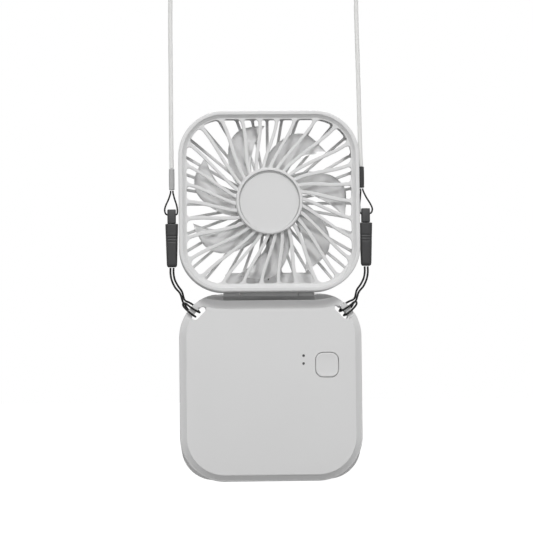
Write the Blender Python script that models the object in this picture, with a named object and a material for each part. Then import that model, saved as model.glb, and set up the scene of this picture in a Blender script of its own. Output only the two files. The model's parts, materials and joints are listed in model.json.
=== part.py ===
"""A foldable mini fan that hangs on a neck lanyard.

Metres, +Z up, +X to the wearer's picture right, front towards -Y. The row's origin is the crown of the neck cord,
and every shape below is drawn in the fan's own frame, whose zero is the parting line between head and base.
"""

import math

import bmesh
import bpy
from mathutils import Matrix, Vector

# Both housings
BODY_DEPTH = 0.0200  # front face to back face
WALL = 0.0018
SEAM_Y = 0.0010  # where front and back covers meet
CLEARANCE = 0.0003  # between neighbouring pieces
LIP_DEPTH = 0.0019  # the back cover's lip inside the front cover
LIP_WALL = 0.00075
OVERRUN = 0.0010  # how far a cutter passes the face that it opens
MERGE = 0.000001
CORNER_STEPS = 8

# Head
HEAD_SIDE = 0.0945
HEAD_CORNER = 0.0235
HEAD_LIFT = 0.00025  # above the parting line
RIM_ROUND = 0.0010
RIM_FLAT = 0.0012
RIM_FACET = 0.0010  # between the rim's face and its inner wall
RIM_SLOPE = 0.0003  # how far the rim's inner wall leans in
RIM_DEPTH = 0.0046  # from the rim's face down to the bars
GRILLE_INSET = 0.0042  # from the outline to the slots' ends

# Front grille
FRONT_BARS = 30
BAR_WIDTH = 0.0019
BAR_DEPTH = 0.0020
BAR_CHAMFER = 0.0004
SWIRL = math.radians(17)  # how far a bar turns between hub and rim
SLOT_ROUND = 0.0019  # corner radius at a slot's outer end
SLOT_ROOT_ROUND = 0.0007
BAR_ROOT = 0.00065  # how far the slots run in under the hub ring
HUB_RING_RADIUS = 0.01725
HUB_RING_TOP = 0.0004
HUB_RING_SLOPE = 0.0009
HUB_RECESS = 0.0009  # from the ring's top down to the hub disc
HUB_SEAT_Y = -0.0083  # front face of the plate under the hub disc
HUB_STEPS = 32

# Rear cover
REAR_BARS = 36
REAR_BAR_WIDTH = 0.0015
REAR_PLATE = 0.0018
REAR_ROUND = 0.0012
REAR_HUB_RADIUS = 0.0172
LEAD_SPOKE = 0.0024
BLOCK_INSET = 0.02425  # from the head's side in to the hinge block
BLOCK_WIDTH = HEAD_SIDE - 2 * BLOCK_INSET
BLOCK_HEIGHT = 0.0100  # above the head's lower edge
BLOCK_DEPTH = 0.0026
BLOCK_LEDGE = 0.0006  # from the block's top up to the slots' ends

# Impeller
BLADES = 7
IMPELLER_INSET = 0.00625  # from the head's side in to the blades' tips
IMPELLER_RADIUS = HEAD_SIDE / 2 - IMPELLER_INSET
IMPELLER_HUB_RADIUS = 0.0140
BLADE_THICKNESS = 0.0012
BLADE_DEPTH = 0.0076
BLADE_TIP_SPAN = math.radians(26)
BLADE_ROOT_SPAN = math.radians(36)
BLADE_SWEEP = math.radians(37)  # how far round the root lies from the tip
FIRST_BLADE = math.radians(2)
BLADE_TIP_ROUND = 0.0060
BLADE_CAMBER = 0.0010
BLADE_BACK_Y = 0.0056
CUP_FRONT_Y = -0.0040
CUP_BACK_Y = 0.0060
CUP_WALL = 0.0015
CUP_STEPS = 32

# Motor
ROTOR_RING_WALL = 0.0008
MAGNET_WALL = 0.0010
STATOR_RADIUS = 0.0098
STATOR_POLES = 9
POLE_SHARES = (0, 0.30, 0.62, 0.81)  # of a pole's turn: its face, then the gap's floor
STATOR_FRONT_Y = -0.0010
STATOR_DEPTH = 0.0072
SHAFT_RADIUS = 0.0010
BEARING_RADIUS = 0.0025
BOSS_WALL = 0.0012
MOTOR_BOARD_RADIUS = 0.0110
MOTOR_BOARD_THICKNESS = 0.0010
RETAINER_RADIUS = 0.0019
RETAINER_THICKNESS = 0.0005

# Hinge between head and base
HINGE_Y = 0.0104
HINGE_Z = -0.0019
HINGE_RADIUS = 0.0036
KNUCKLE_INSET = 0.02325  # from the head's side in to the base's knuckles
KNUCKLE_LENGTH = 0.0088
SLEEVE_GRIP = 0.0062  # length of a friction sleeve
WEB_INSET = 0.0045  # from the barrel's end in to the web above it
LEAD_PIN_INSET = 0.0060  # from the knuckle's end in to the hollow pin
PIN_INSET = 0.0020
KNUCKLE_END = HEAD_SIDE / 2 - KNUCKLE_INSET
HEAD_KNUCKLE = KNUCKLE_END - KNUCKLE_LENGTH  # half length of the head's barrel
PIN_INNER_X = HEAD_KNUCKLE - SLEEVE_GRIP
LEAD_PIN_OUTER_X = KNUCKLE_END - LEAD_PIN_INSET
PIN_OUTER_X = KNUCKLE_END - PIN_INSET
TILT_CUT = math.radians(23.6)  # the slope on which the head tilts forwards
PIN_RADIUS = 0.0013
FRICTION_SLEEVE_RADIUS = 0.0025
LEAD_RADIUS = 0.00055
LEAD_CHANNEL = 0.00095

# Base
BASE_STEP = 0.00025  # how far the base stands out beside the head
BASE_WIDTH = HEAD_SIDE + 2 * BASE_STEP
BASE_BOTTOM = -0.0983
BASE_TOP = HEAD_LIFT - CLEARANCE
BASE_CORNER = 0.0232
BORDER = 0.0036  # the creased border round the front panel
BORDER_DEPTH = 0.0034
BORDER_ROUND = 0.0007
BACK_ROUND = 0.0012
CAVITY_TOP = -0.0160
CAVITY_CORNER = 0.0160
# Half the outline of the tilted head's room: in from the head's side, and up from the outline's lower edge
TILT_OUTLINE = (
    (0.02325, 0),
    (0.02105, 0.0001),
    (0.01855, 0.0004),
    (0.01525, 0.0009),
    (0.01225, 0.0013),
    (0.00965, 0.0013),
    (0.00785, 0.0032),
)

# Lanyard slots in the base's upper corners, in coordinates round the corner's centre
SLOT_REACH = 0.0180
SLOT_SHIFT = -0.0001
LANYARD_SLOT_WIDTH = 0.0032
LANYARD_SLOT_LENGTH = 0.0090
BAR_HALF_DEPTH = 0.0040
NOTCH_LOW = -0.0058
NOTCH_HIGH = 0.0020
NOTCH_REACH = 0.0120

# Button and lights
BUTTON_INSET = 0.0184  # from the base's side in to the button's middle
BUTTON_X = BASE_WIDTH / 2 - BUTTON_INSET
BUTTON_Z = -0.0381
BUTTON_WIDTH = 0.0118
BUTTON_HEIGHT = 0.0126
BUTTON_CORNER = 0.0038
BUTTON_FLANGE = 0.0012
BUTTON_FLANGE_DEPTH = 0.0010
BUTTON_NUB_RADIUS = 0.0016
BUTTON_TRAVEL = 0.0005
LIGHT_OFFSET = 0.0122  # from the button's middle to the lights
LIGHT_X = BUTTON_X - LIGHT_OFFSET
LIGHT_HIGH_Z = -0.0333
LIGHT_LOW_Z = -0.0374
LIGHT_RADIUS = 0.0005
LIGHT_GAP = 0.0002
LIGHT_BAR_WIDTH = 0.0034
LIGHT_BAR_DEPTH = 0.0022

# Inside the base
BOARD_INSET = 0.0039  # from the base's side in to the board
BOARD_WIDTH = 0.0306
BOARD_FOOT = 0.0223  # from the base's lower edge up to the board
BOARD_RIGHT = BASE_WIDTH / 2 - BOARD_INSET
BOARD_LEFT = BOARD_RIGHT - BOARD_WIDTH
BOARD_TOP = -0.0300
BOARD_BOTTOM = BASE_BOTTOM + BOARD_FOOT
BOARD_FRONT_Y = -0.0026
BOARD_THICKNESS = 0.0016
BOARD_CORNER = 0.0010
SWITCH_SIDE = 0.0060
SWITCH_DEPTH = 0.0030
SWITCH_PLATE = 0.0004
BATTERY_INSET = 0.0075
BATTERY_GAP = 0.0050  # between battery and board
BATTERY_FOOT = 0.0143
BATTERY_LEFT = BATTERY_INSET - BASE_WIDTH / 2
BATTERY_RIGHT = BOARD_LEFT - BATTERY_GAP
BATTERY_TOP = -0.0260
BATTERY_BOTTOM = BASE_BOTTOM + BATTERY_FOOT
BATTERY_FRONT_Y = -0.0044
BATTERY_CORNER = 0.0020
BATTERY_EDGE = 0.0012
USB_RISE = 0.0160  # from the board's lower edge up to the port's middle
USB_Z = BOARD_BOTTOM + USB_RISE
USB_WIDTH = 0.0090
USB_HEIGHT = 0.0033
USB_DEPTH = 0.0073
USB_WALL = 0.0004
USB_TONGUE = 0.0007
USB_TONGUE_WIDTH = 0.0066
USB_SINK = 0.0005  # how far the port's face lies inside the base's side
USB_FACE_X = BASE_WIDTH / 2 - USB_SINK
POST_RADIUS = 0.0016
POST_ACROSS = 0.0040  # from the board's corners in to the posts
POST_UP = 0.0060
POST_DOWN = 0.0035
POST_PLACES = (
    (BOARD_LEFT + POST_ACROSS, BOARD_BOTTOM + POST_UP),
    (BOARD_RIGHT - POST_ACROSS, BOARD_TOP - POST_DOWN),
)

# Screws
SCREW_RADIUS = 0.0010
SCREW_HEAD_RADIUS = 0.0019
SCREW_HEAD_HEIGHT = 0.0012
SCREW_RECESS = 0.0006
SCREW_LENGTH = 0.0100
SCREW_SOCKET_RADIUS = 0.0009
SCREW_SOCKET_DEPTH = 0.0007
SCREW_CROWN_SHARE = 0.8
BOSS_RADIUS = 0.0025
SCREW_STEPS = 16
UPPER_SCREW_INSET = 0.0087  # from the base's side
UPPER_SCREW_DROP = 0.0229  # from the base's upper edge
LOWER_SCREW_INSET = 0.0115
LOWER_SCREW_RISE = 0.0098  # from the base's lower edge
BASE_SCREWS = (
    (UPPER_SCREW_INSET - BASE_WIDTH / 2, BASE_TOP - UPPER_SCREW_DROP),
    (BASE_WIDTH / 2 - UPPER_SCREW_INSET, BASE_TOP - UPPER_SCREW_DROP),
    (LOWER_SCREW_INSET - BASE_WIDTH / 2, BASE_BOTTOM + LOWER_SCREW_RISE),
    (BASE_WIDTH / 2 - LOWER_SCREW_INSET, BASE_BOTTOM + LOWER_SCREW_RISE),
)
HEAD_SCREW_RADIUS = 0.0008
HEAD_SCREW_HEAD = 0.0014
HEAD_BOSS_RADIUS = 0.0018
HEAD_BOSS_END_Y = 0.0052  # where the front boss meets the rear one
HEAD_SCREW_RISE = 0.00395  # from the head's lower edge
HEAD_SCREW_BAR = math.tau / FRONT_BARS * 3 / 2  # the second bar from the middle hides the boss
HEAD_SCREW_X = (HEAD_SIDE / 2 - GRILLE_INSET) * math.tan(HEAD_SCREW_BAR)
HEAD_SCREW_Z = HEAD_LIFT + HEAD_SCREW_RISE
HEAD_SCREWS = ((-HEAD_SCREW_X, HEAD_SCREW_Z), (HEAD_SCREW_X, HEAD_SCREW_Z))

# Lanyard
CORD_RADIUS = 0.00115
THIN_CORD_RADIUS = 0.00045
LOWER_CORD_RADIUS = 0.00055
SLEEVE_RADIUS = 0.0015
SLEEVE_LENGTH = 0.0111
SLEEVE_EDGE = 0.0002
LEFT_SLEEVE_OUT = 0.00355  # out from the head's side, as the next two
RIGHT_SLEEVE_OUT = 0.00175
BUCKLE_OUT = 0.00375
LEFT_SLEEVE_Z = 0.0543
RIGHT_SLEEVE_Z = 0.0549
BUCKLE_TOP = 0.0440
BUCKLE_JOINT = 0.0364
BUCKLE_BOTTOM = 0.0137
BUCKLE_UPPER_WIDTH = 0.0045
BUCKLE_UPPER_DEPTH = 0.0042
BUCKLE_LOWER_WIDTH = 0.0067
BUCKLE_LOWER_DEPTH = 0.0050
BUCKLE_FOOT_WIDTH = 0.0055
BUCKLE_FOOT_DEPTH = 0.0043
BUCKLE_FOOT_ROUND = 0.0018
BUCKLE_EDGE = 0.0004
BUCKLE_CORNER = 0.0012
BUCKLE_STEPS = 3
BUCKLE_EYE_Z = 0.0413
BUCKLE_EYE_RADIUS = 0.0008
TONGUE_WIDTH = 0.0032
TONGUE_DEPTH = 0.0018
TONGUE_LENGTH = 0.0080
CROWN_HEIGHT = 0.2050  # from the parting line up to the crown of the neck cord
CORD_STEP = 0.0057  # between the cords' points
THIN_CORD_STEP = 0.0013
LOWER_CORD_STEP = 0.0019
LEAD_STEP = 0.0026

FRONT_Y = -BODY_DEPTH / 2
BACK_Y = BODY_DEPTH / 2
HEAD_CENTRE_Z = HEAD_LIFT + HEAD_SIDE / 2
FAN_ORIGIN = Vector((0, 0, -CROWN_HEIGHT))
ALONG_Y = Matrix.Rotation(math.radians(90), 4, "X")
ALONG_X = Matrix.Rotation(math.radians(90), 4, "Y")

# Each cord's route is a list of points chosen by hand, in metres. The neck cord's: out from the head's side and
# height, up the left side to the crown and down the right one.
NECK_CORD_LEFT = (
    (0.00355, 0.0657),
    (0.00365, 0.0850),
    (0.00365, 0.1150),
    (0.00365, 0.1450),
    (0.00295, 0.1640),
    (-0.00125, 0.1810),
    (-0.01075, 0.1945),
    (-0.02745, 0.2030),
)
NECK_CORD_RIGHT = (
    (-0.02805, 0.2028),
    (-0.01225, 0.1940),
    (-0.00345, 0.1800),
    (-0.00015, 0.1640),
    (0.00015, 0.1450),
    (0.00065, 0.1200),
    (0.00105, 0.0950),
    (0.00135, 0.0750),
    (0.00175, 0.0663),
)
# Upper loops: across from the buckle's middle (outwards is positive), depth and height.
UPPER_LOOP = (
    (0.00060, 0, 0.0539),
    (0.00070, 0, 0.0525),
    (0.00170, 0, 0.0493),
    (0.00310, 0, 0.0461),
    (0.00360, 0, 0.0439),
    (0.00335, 0, 0.0423),
    (0.00280, 0, 0.0415),
    (0.00200, 0, 0.0413),
    (0, 0, 0.0413),
    (-0.00210, 0, 0.0413),
    (-0.00275, 0, 0.0416),
    (-0.00303, 0, 0.0425),
    (-0.00300, 0, 0.0441),
    (-0.00260, 0, 0.0463),
    (-0.00160, 0, 0.0493),
    (-0.00070, 0, 0.0525),
    (-0.00060, 0, 0.0539),
)
# Lower loops: the two strands under the buckle, in the same coordinates.
LOWER_STRAND_OUT = (
    (0.00080, 0, 0.0134),
    (0.00080, 0, 0.0100),
    (0.00010, -0.0001, 0.0066),
    (-0.00160, -0.0003, 0.0030),
    (-0.00410, -0.0005, -0.0001),
)
LOWER_STRAND_IN = (
    (-0.00080, 0, 0.0134),
    (-0.00080, 0, 0.0104),
    (-0.00140, 0.0001, 0.0072),
    (-0.00300, 0.0003, 0.0040),
    (-0.00510, 0.0005, 0.0009),
)
# The hitch round the corner bar: away from the corner's centre, along the bar, and depth.
HITCH = (
    (0.0284, -0.0016, 0.0004),
    (0.0266, -0.0018, 0.0022),
    (0.0246, -0.0024, 0.0040),
    (0.0222, -0.0026, 0.0055),
    (0.0194, -0.0026, 0.0048),
    (0.0183, -0.0026, 0.0020),
    (0.0182, -0.0027, -0.0018),
    (0.0190, -0.0030, -0.0047),
    (0.0214, -0.0033, -0.0057),
    (0.0241, -0.0034, -0.0050),
    (0.0266, -0.0031, -0.0036),
    (0.0275, -0.0021, -0.0030),
    (0.0262, -0.0013, -0.0042),
    (0.0240, -0.0011, -0.0048),
    (0.0212, -0.0006, -0.0057),
    (0.0190, 0, -0.0047),
    (0.0182, 0.0004, -0.0018),
    (0.0183, 0.0006, 0.0020),
    (0.0196, 0.0008, 0.0050),
    (0.0222, 0.0010, 0.0053),
    (0.0242, 0.0009, 0.0038),
    (0.0258, 0.0004, 0.0012),
    (0.0284, -0.0003, 0),
)
# The motor's lead: down the rear cover's spoke into the hinge, then from the hollow pin to the board
LEAD_DROP = 0.0113  # from the motor's middle down to the lead's upper end
LEAD_SPAN = 0.0004  # from the pin's inner end out to the lead's parting
LEAD_IN_HEAD = (
    (0, 0.0073, HEAD_CENTRE_Z - LEAD_DROP),
    (0, 0.0073, 0.0220),
    (0, 0.0073, 0.0140),
    (-0.0001, 0.0076, 0.0085),
    (-0.0009, 0.0089, 0.0030),
    (-0.0027, 0.0101, -0.0007),
    (-0.0052, 0.0104, -0.0019),
    (LEAD_SPAN - PIN_INNER_X, 0.0104, -0.0019),
)
LEAD_AT_KNUCKLE = (
    (0.0151, 0.0104, -0.0019),
    (0.0100, 0.0104, -0.0019),
    (0.0053, 0.0104, -0.0019),
    (0.0036, 0.0099, -0.0027),
    (0.0028, 0.0083, -0.0052),
    (0.0028, 0.0060, -0.0088),
    (0.0032, 0.0040, -0.0127),
    (0.0042, 0.0025, -0.0168),
    (0.0090, 0.0008, -0.0200),
)
LEAD_AT_BOARD = (
    (-0.0180, -0.0002, -0.0215),
    (-0.0060, -0.0010, -0.0220),
    (0.0005, -0.0016, -0.0248),
    (0.0025, -0.0018, -0.0297),
)
LEAD_IN_BASE = [(across - KNUCKLE_END, y, z) for across, y, z in LEAD_AT_KNUCKLE]
LEAD_IN_BASE += [(BOARD_LEFT + across, y, z) for across, y, z in LEAD_AT_BOARD]


def clear_scene():
    for obj in list(bpy.data.objects):
        bpy.data.objects.remove(obj, do_unlink=True)


def material(name, colour, roughness, metallic=0.0):
    made = bpy.data.materials.new(name)
    made.use_nodes = True
    shader = made.node_tree.nodes["Principled BSDF"]
    shader.inputs["Base Color"].default_value = (*colour, 1.0)
    shader.inputs["Roughness"].default_value = roughness
    shader.inputs["Metallic"].default_value = metallic
    made.diffuse_color = (*colour, 1.0)
    return made


def empty(name, place, parent=None):
    made = bpy.data.objects.new(name, None)
    made.empty_display_size = WALL
    made.location = place
    made.parent = parent
    bpy.context.scene.collection.objects.link(made)
    return made


def mesh_object(name, shape):
    """An object in the fan's frame from a bmesh, closed and with its faces pointing out."""
    bmesh.ops.recalc_face_normals(shape, faces=shape.faces)
    mesh = bpy.data.meshes.new(name)
    shape.to_mesh(mesh)
    shape.free()
    made = bpy.data.objects.new(name, mesh)
    bpy.context.scene.collection.objects.link(made)
    return made


def finish(obj, name, look, pivot, pivot_place=Vector((0, 0, 0)), smooth_angle=math.radians(32)):
    """Names a piece, gives it its material and hangs it on its pivot, with its origin there."""
    obj.name = name
    obj.data.name = name
    obj.data.transform(Matrix.Translation(-pivot_place))
    obj.data.materials.clear()
    obj.data.materials.append(look)
    obj.parent = pivot
    obj.data.shade_smooth()
    obj.data.set_sharp_from_angle(angle=smooth_angle)
    return obj


def apply_modifiers(obj):
    """Replaces the object's mesh by what its modifiers make of it."""
    graph = bpy.context.evaluated_depsgraph_get()
    mesh = bpy.data.meshes.new_from_object(obj.evaluated_get(graph))
    obj.modifiers.clear()
    old = obj.data
    obj.data = mesh
    bpy.data.meshes.remove(old)


def combine(obj, others, operation):
    """Joins or cuts obj with each of the others, which are used up."""
    for other in others:
        change = obj.modifiers.new(operation.title(), "BOOLEAN")
        change.operation = operation
        change.solver = "EXACT"
        change.object = other
        apply_modifiers(obj)
        bpy.data.objects.remove(other, do_unlink=True)
    return obj


def cut(obj, *others):
    return combine(obj, others, "DIFFERENCE")


def join(obj, *others):
    return combine(obj, others, "UNION")


def rounded_rectangle(width, height, corner, centre_x=0.0, centre_z=0.0, steps=CORNER_STEPS):
    """Points (x, z) round a rounded rectangle, counter-clockwise, from the middle of its upper right corner arc."""
    points = []
    for turn, (side_x, side_z) in enumerate(((1, 1), (-1, 1), (-1, -1), (1, -1))):
        arc_x = centre_x + side_x * (width / 2 - corner)
        arc_z = centre_z + side_z * (height / 2 - corner)
        for step in range(steps + 1):
            angle = math.pi / 2 * (turn + step / steps)
            points.append((arc_x + corner * math.cos(angle), arc_z + corner * math.sin(angle)))
    return points


def at_depth(outline, depth):
    return [Vector((x, depth, z)) for x, z in outline]


def at_height(outline, height):
    return [Vector((x, y, height)) for x, y in outline]


def loft(name, rings, closed=False):
    """A solid through rings of equal counts: capped at its ends, or closed on itself as a frame is."""
    shape = bmesh.new()
    rows = [[shape.verts.new(point) for point in ring] for ring in rings]
    pairs = list(zip(rows, rows[1:]))
    if closed:
        pairs.append((rows[-1], rows[0]))
    for near, far in pairs:
        for index in range(len(near)):
            after = (index + 1) % len(near)
            shape.faces.new((near[index], near[after], far[after], far[index]))
    if not closed:
        shape.faces.new(rows[0])
        shape.faces.new(rows[-1])
    return mesh_object(name, shape)


def prism(name, outline, from_y, to_y):
    return loft(name, [at_depth(outline, from_y), at_depth(outline, to_y)])


def turned(name, profile, steps, frame=Matrix.Identity(4), closed=False):
    """Revolves (radius, height) points round +Z and then places the shape with frame."""
    rings = []
    for radius, height in profile:
        ring = []
        for step in range(steps):
            angle = math.tau * step / steps
            ring.append(frame @ Vector((radius * math.cos(angle), radius * math.sin(angle), height)))
        rings.append(ring)
    return loft(name, rings, closed)


def rod(name, radius, start, end, steps=SCREW_STEPS):
    """A plain cylinder between two points."""
    axis = end - start
    frame = Matrix.Translation(start) @ axis.to_track_quat("Z", "Y").to_matrix().to_4x4()
    return turned(name, ((radius, 0), (radius, axis.length)), steps, frame)


def pipe(name, outer, inner, start, end, steps=SCREW_STEPS):
    axis = end - start
    frame = Matrix.Translation(start) @ axis.to_track_quat("Z", "Y").to_matrix().to_4x4()
    profile = ((outer, 0), (outer, axis.length), (inner, axis.length), (inner, 0))
    return turned(name, profile, steps, frame, closed=True)


def smooth_route(points, step):
    """Points about step apart on a Catmull-Rom curve through the given ones."""
    route = [Vector(point) for point in points]
    ends = [2 * route[0] - route[1], *route, 2 * route[-1] - route[-2]]
    fine = []
    samples = 24
    for before, start, end, after in zip(ends, ends[1:], ends[2:], ends[3:]):
        for sample in range(samples):
            share = sample / samples
            fine.append(
                0.5 * (
                    2 * start
                    + (end - before) * share
                    + (2 * before - 5 * start + 4 * end - after) * share**2
                    + (3 * start - before - 3 * end + after) * share**3
                )
            )
    fine.append(route[-1])
    along = [0.0]
    for near, far in zip(fine, fine[1:]):
        along.append(along[-1] + (far - near).length)
    count = max(2, round(along[-1] / step))
    kept = []
    index = 0
    for number in range(count + 1):
        wanted = along[-1] * number / count
        while index < len(along) - 2 and along[index + 1] < wanted:
            index += 1
        share = (wanted - along[index]) / max(along[index + 1] - along[index], MERGE)
        kept.append(fine[index].lerp(fine[index + 1], min(1.0, share)))
    return kept


def tube(name, points, radius, step):
    """A round cord along a smooth route: a poly curve with a bevel and filled caps."""
    curve = bpy.data.curves.new(name, "CURVE")
    curve.dimensions = "3D"
    curve.bevel_depth = radius
    curve.bevel_resolution = 2
    curve.use_fill_caps = True
    route = smooth_route(points, step)
    spline = curve.splines.new("POLY")
    spline.points.add(len(route) - 1)
    for spline_point, place in zip(spline.points, route):
        spline_point.co = (*place, 1.0)
    made = bpy.data.objects.new(name, curve)
    bpy.context.scene.collection.objects.link(made)
    return made


def as_mesh(obj):
    """Turns a curve object into a mesh object with its doubles merged."""
    name = obj.name
    graph = bpy.context.evaluated_depsgraph_get()
    mesh = bpy.data.meshes.new_from_object(obj.evaluated_get(graph))
    old = obj.data
    replaced = bpy.data.objects.new(name, mesh)
    bpy.context.scene.collection.objects.link(replaced)
    bpy.data.objects.remove(obj, do_unlink=True)
    bpy.data.curves.remove(old)
    shape = bmesh.new()
    shape.from_mesh(mesh)
    bmesh.ops.remove_doubles(shape, verts=shape.verts, dist=MERGE)
    bmesh.ops.recalc_face_normals(shape, faces=shape.faces)
    shape.to_mesh(mesh)
    shape.free()
    return replaced


def reach(angle, half, corner):
    """How far a rounded square of that half side goes from its centre in that direction."""
    across, up = abs(math.cos(angle)), abs(math.sin(angle))
    straight = half / max(across, up)
    if straight * min(across, up) <= half - corner:
        return straight
    arc = half - corner
    along = arc * (across + up)
    return along + math.sqrt(max(0.0, along**2 - 2 * arc**2 + corner**2))


def front_reach(angle):
    return reach(angle, HEAD_SIDE / 2 - GRILLE_INSET, HEAD_CORNER - GRILLE_INSET)


def block_reach(angle):
    """As front_reach, but for the slots that stop above the hinge block."""
    edge = HEAD_SIDE / 2 - BLOCK_HEIGHT - BLOCK_LEDGE
    return min(front_reach(angle), edge / max(MERGE, -math.sin(angle)))


def above_block(angle):
    edge = HEAD_SIDE / 2 - BLOCK_HEIGHT - BLOCK_LEDGE
    return math.sin(angle) < 0 and abs(math.cos(angle)) * edge < BLOCK_WIDTH / 2 * -math.sin(angle)


def bar_angle(start, share, swirl):
    """Where a bar's middle lies: it starts turned at the hub and meets the rim squarely, at angle start."""
    return start + swirl * (1 - share) ** 2


def bar_half_angle(width, radius, share, swirl, long):
    """Half the angle that a bar of that width covers, wider where the bar leans."""
    lean = radius * swirl * 2 * (1 - share) / long
    return width / 2 * math.sqrt(1 + lean**2) / radius


class BarPlate:
    """A plate of bars between a hub and the head's rounded square, made sector by sector."""

    def __init__(self, bars, start, swirl, inner, roundings, side_steps, round_steps, chamfer):
        self.bars = bars
        self.pitch = math.tau / bars
        self.start = start
        self.swirl = swirl
        self.inner = inner
        self.chamfer = chamfer
        self.run = self.side_run(roundings, side_steps, round_steps)

    def side_run(self, roundings, side_steps, round_steps):
        """(share of the slot's length, extra half width of the bar) along a slot's side."""
        round_out, round_in = roundings
        long = front_reach(0) - self.inner
        low, high = round_in / long, 1 - round_out / long
        run = []
        for step in range(round_steps):
            turn = math.pi / 2 * step / round_steps
            run.append((low * (1 - math.cos(turn)), round_in * (1 - math.sin(turn))))
        for step in range(side_steps + 1):
            run.append((low + (high - low) * step / side_steps, 0.0))
        for step in range(1, round_steps + 1):
            turn = math.pi / 2 * step / round_steps
            run.append((high + (1 - high) * math.sin(turn), round_out * (1 - math.cos(turn))))
        return run

    def middle(self, number, share, reach_at):
        angle = bar_angle(self.start + self.pitch * number, share, self.swirl)
        return angle, self.inner + share * (reach_at(angle) - self.inner)

    def side(self, number, side, width, reach_at, share, extra, spread):
        """A point of a slot's side; spread widens the opening for the bars' chamfer."""
        angle, radius = self.middle(number, share, reach_at)
        long = reach_at(angle) - self.inner
        half = bar_half_angle(width, radius, share, self.swirl, long)
        angle += side * (half + (extra - spread) / radius)
        share += spread / long * (2 * share - 1)
        return angle, self.inner + share * (reach_at(angle) - self.inner)

    def build(self, name, width_of, slot_reach, bar_reach, edge_reach, hub_radius, thickness, face_y):
        """The closed plate; its front face lies at face_y(x, z), and all points are round the head's centre."""
        shape = bmesh.new()

        def row(places, behind):
            made = []
            for angle, radius in places:
                x, z = radius * math.cos(angle), radius * math.sin(angle)
                made.append(shape.verts.new((x, face_y(x, z) + behind, z)))
            return made

        levels = [(0.0, self.chamfer), (self.chamfer, 0.0), (thickness, 0.0)] if self.chamfer else [
            (0.0, 0.0),
            (thickness, 0.0),
        ]
        middles, edges, roots, edge_middles, slots = [], [], [], [], []
        for number in range(self.bars):
            reach_at = bar_reach(number)
            places = [self.middle(number, share, reach_at) for share, _ in self.run]
            edge_angle = self.start + self.pitch * number
            halfway = edge_angle + self.pitch / 2
            middles.append([row(places, behind) for behind in (0.0, thickness)])
            edges.append([row([(edge_angle, edge_reach(edge_angle))], behind)[0] for behind in (0.0, thickness)])
            edge_middles.append([row([(halfway, edge_reach(halfway))], behind)[0] for behind in (0.0, thickness)])
            root = [(places[0][0], hub_radius)]
            roots.append([row(root, behind)[0] for behind in (0.0, thickness)])
        for number in range(self.bars):
            reach_at = slot_reach(number)
            rings = []
            for behind, spread in levels:
                near = [
                    self.side(number, 1, width_of(number), reach_at, share, extra, spread)
                    for share, extra in self.run
                ]
                far = [
                    self.side(number + 1, -1, width_of(number + 1), reach_at, share, extra, spread)
                    for share, extra in self.run
                ]
                halfway = (near[-1][0] + far[-1][0]) / 2
                top = (halfway, reach_at(halfway) + spread)
                rings.append(row([*near, top, *far[::-1]], behind))
            slots.append(rings)
        count = len(self.run)
        for number in range(self.bars):
            after = (number + 1) % self.bars
            rings = slots[number]
            for upper, lower in zip(rings, rings[1:]):
                for k in range(len(upper)):
                    n = (k + 1) % len(upper)
                    shape.faces.new((upper[k], upper[n], lower[n], lower[k]))
            for level, ring in ((0, rings[0]), (1, rings[-1])):
                near, far = ring[:count], ring[count + 1 :][::-1]
                here, there = middles[number][level], middles[after][level]
                for k in range(count - 1):
                    shape.faces.new((here[k], here[k + 1], near[k + 1], near[k]))
                    shape.faces.new((there[k], there[k + 1], far[k + 1], far[k]))
                top = ring[count]
                edge_middle = edge_middles[number][level]
                shape.faces.new((here[-1], edges[number][level], edge_middle, top, near[-1]))
                shape.faces.new((there[-1], edges[after][level], edge_middle, top, far[-1]))
                shape.faces.new(
                    (here[0], near[0], far[0], there[0], roots[after][level], roots[number][level])
                )
            for first, second in ((edges[number], edge_middles[number]), (edge_middles[number], edges[after])):
                shape.faces.new((first[0], second[0], second[1], first[1]))
        for level in (0, 1):
            shape.faces.new([root[level] for root in roots])
        return mesh_object(name, shape)


def plate(name, outer, holes, thickness, chamfer):
    """A flat plate in the head's plane with holes through it, as a filled curve with its edges bevelled."""
    curve = bpy.data.curves.new(name, "CURVE")
    curve.dimensions = "2D"
    curve.fill_mode = "BOTH"
    curve.extrude = thickness / 2 - chamfer
    curve.bevel_depth = chamfer
    curve.bevel_resolution = 0
    curve.offset = -chamfer
    for outline in (outer, *holes):
        spline = curve.splines.new("POLY")
        spline.points.add(len(outline) - 1)
        for spline_point, (x, z) in zip(spline.points, outline):
            spline_point.co = (x, z, 0, 1)
        spline.use_cyclic_u = True
    made = bpy.data.objects.new(name, curve)
    bpy.context.scene.collection.objects.link(made)
    made = as_mesh(made)
    made.data.transform(ALONG_Y)
    return made


def head_rings(profile):
    """Rings of the head's rounded square: each profile point is (inset, depth)."""
    return [
        at_depth(
            rounded_rectangle(
                HEAD_SIDE - 2 * inset, HEAD_SIDE - 2 * inset, HEAD_CORNER - inset, 0, HEAD_CENTRE_Z
            ),
            depth,
        )
        for inset, depth in profile
    ]


def base_ring(inset, depth):
    height = BASE_TOP - BASE_BOTTOM
    middle = (BASE_TOP + BASE_BOTTOM) / 2
    outline = rounded_rectangle(
        BASE_WIDTH - 2 * inset, height - 2 * inset, BASE_CORNER - inset, 0, middle
    )
    return at_depth(outline, depth)


def cavity_ring(grow, depth):
    """The base's hollow, which leaves its top solid for the hinge and the lanyard slots."""
    low, high = BASE_BOTTOM + WALL, CAVITY_TOP
    outline = rounded_rectangle(
        BASE_WIDTH - 2 * WALL + 2 * grow, high - low + 2 * grow, CAVITY_CORNER + grow, 0, (low + high) / 2
    )
    return at_depth(outline, depth)


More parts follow.
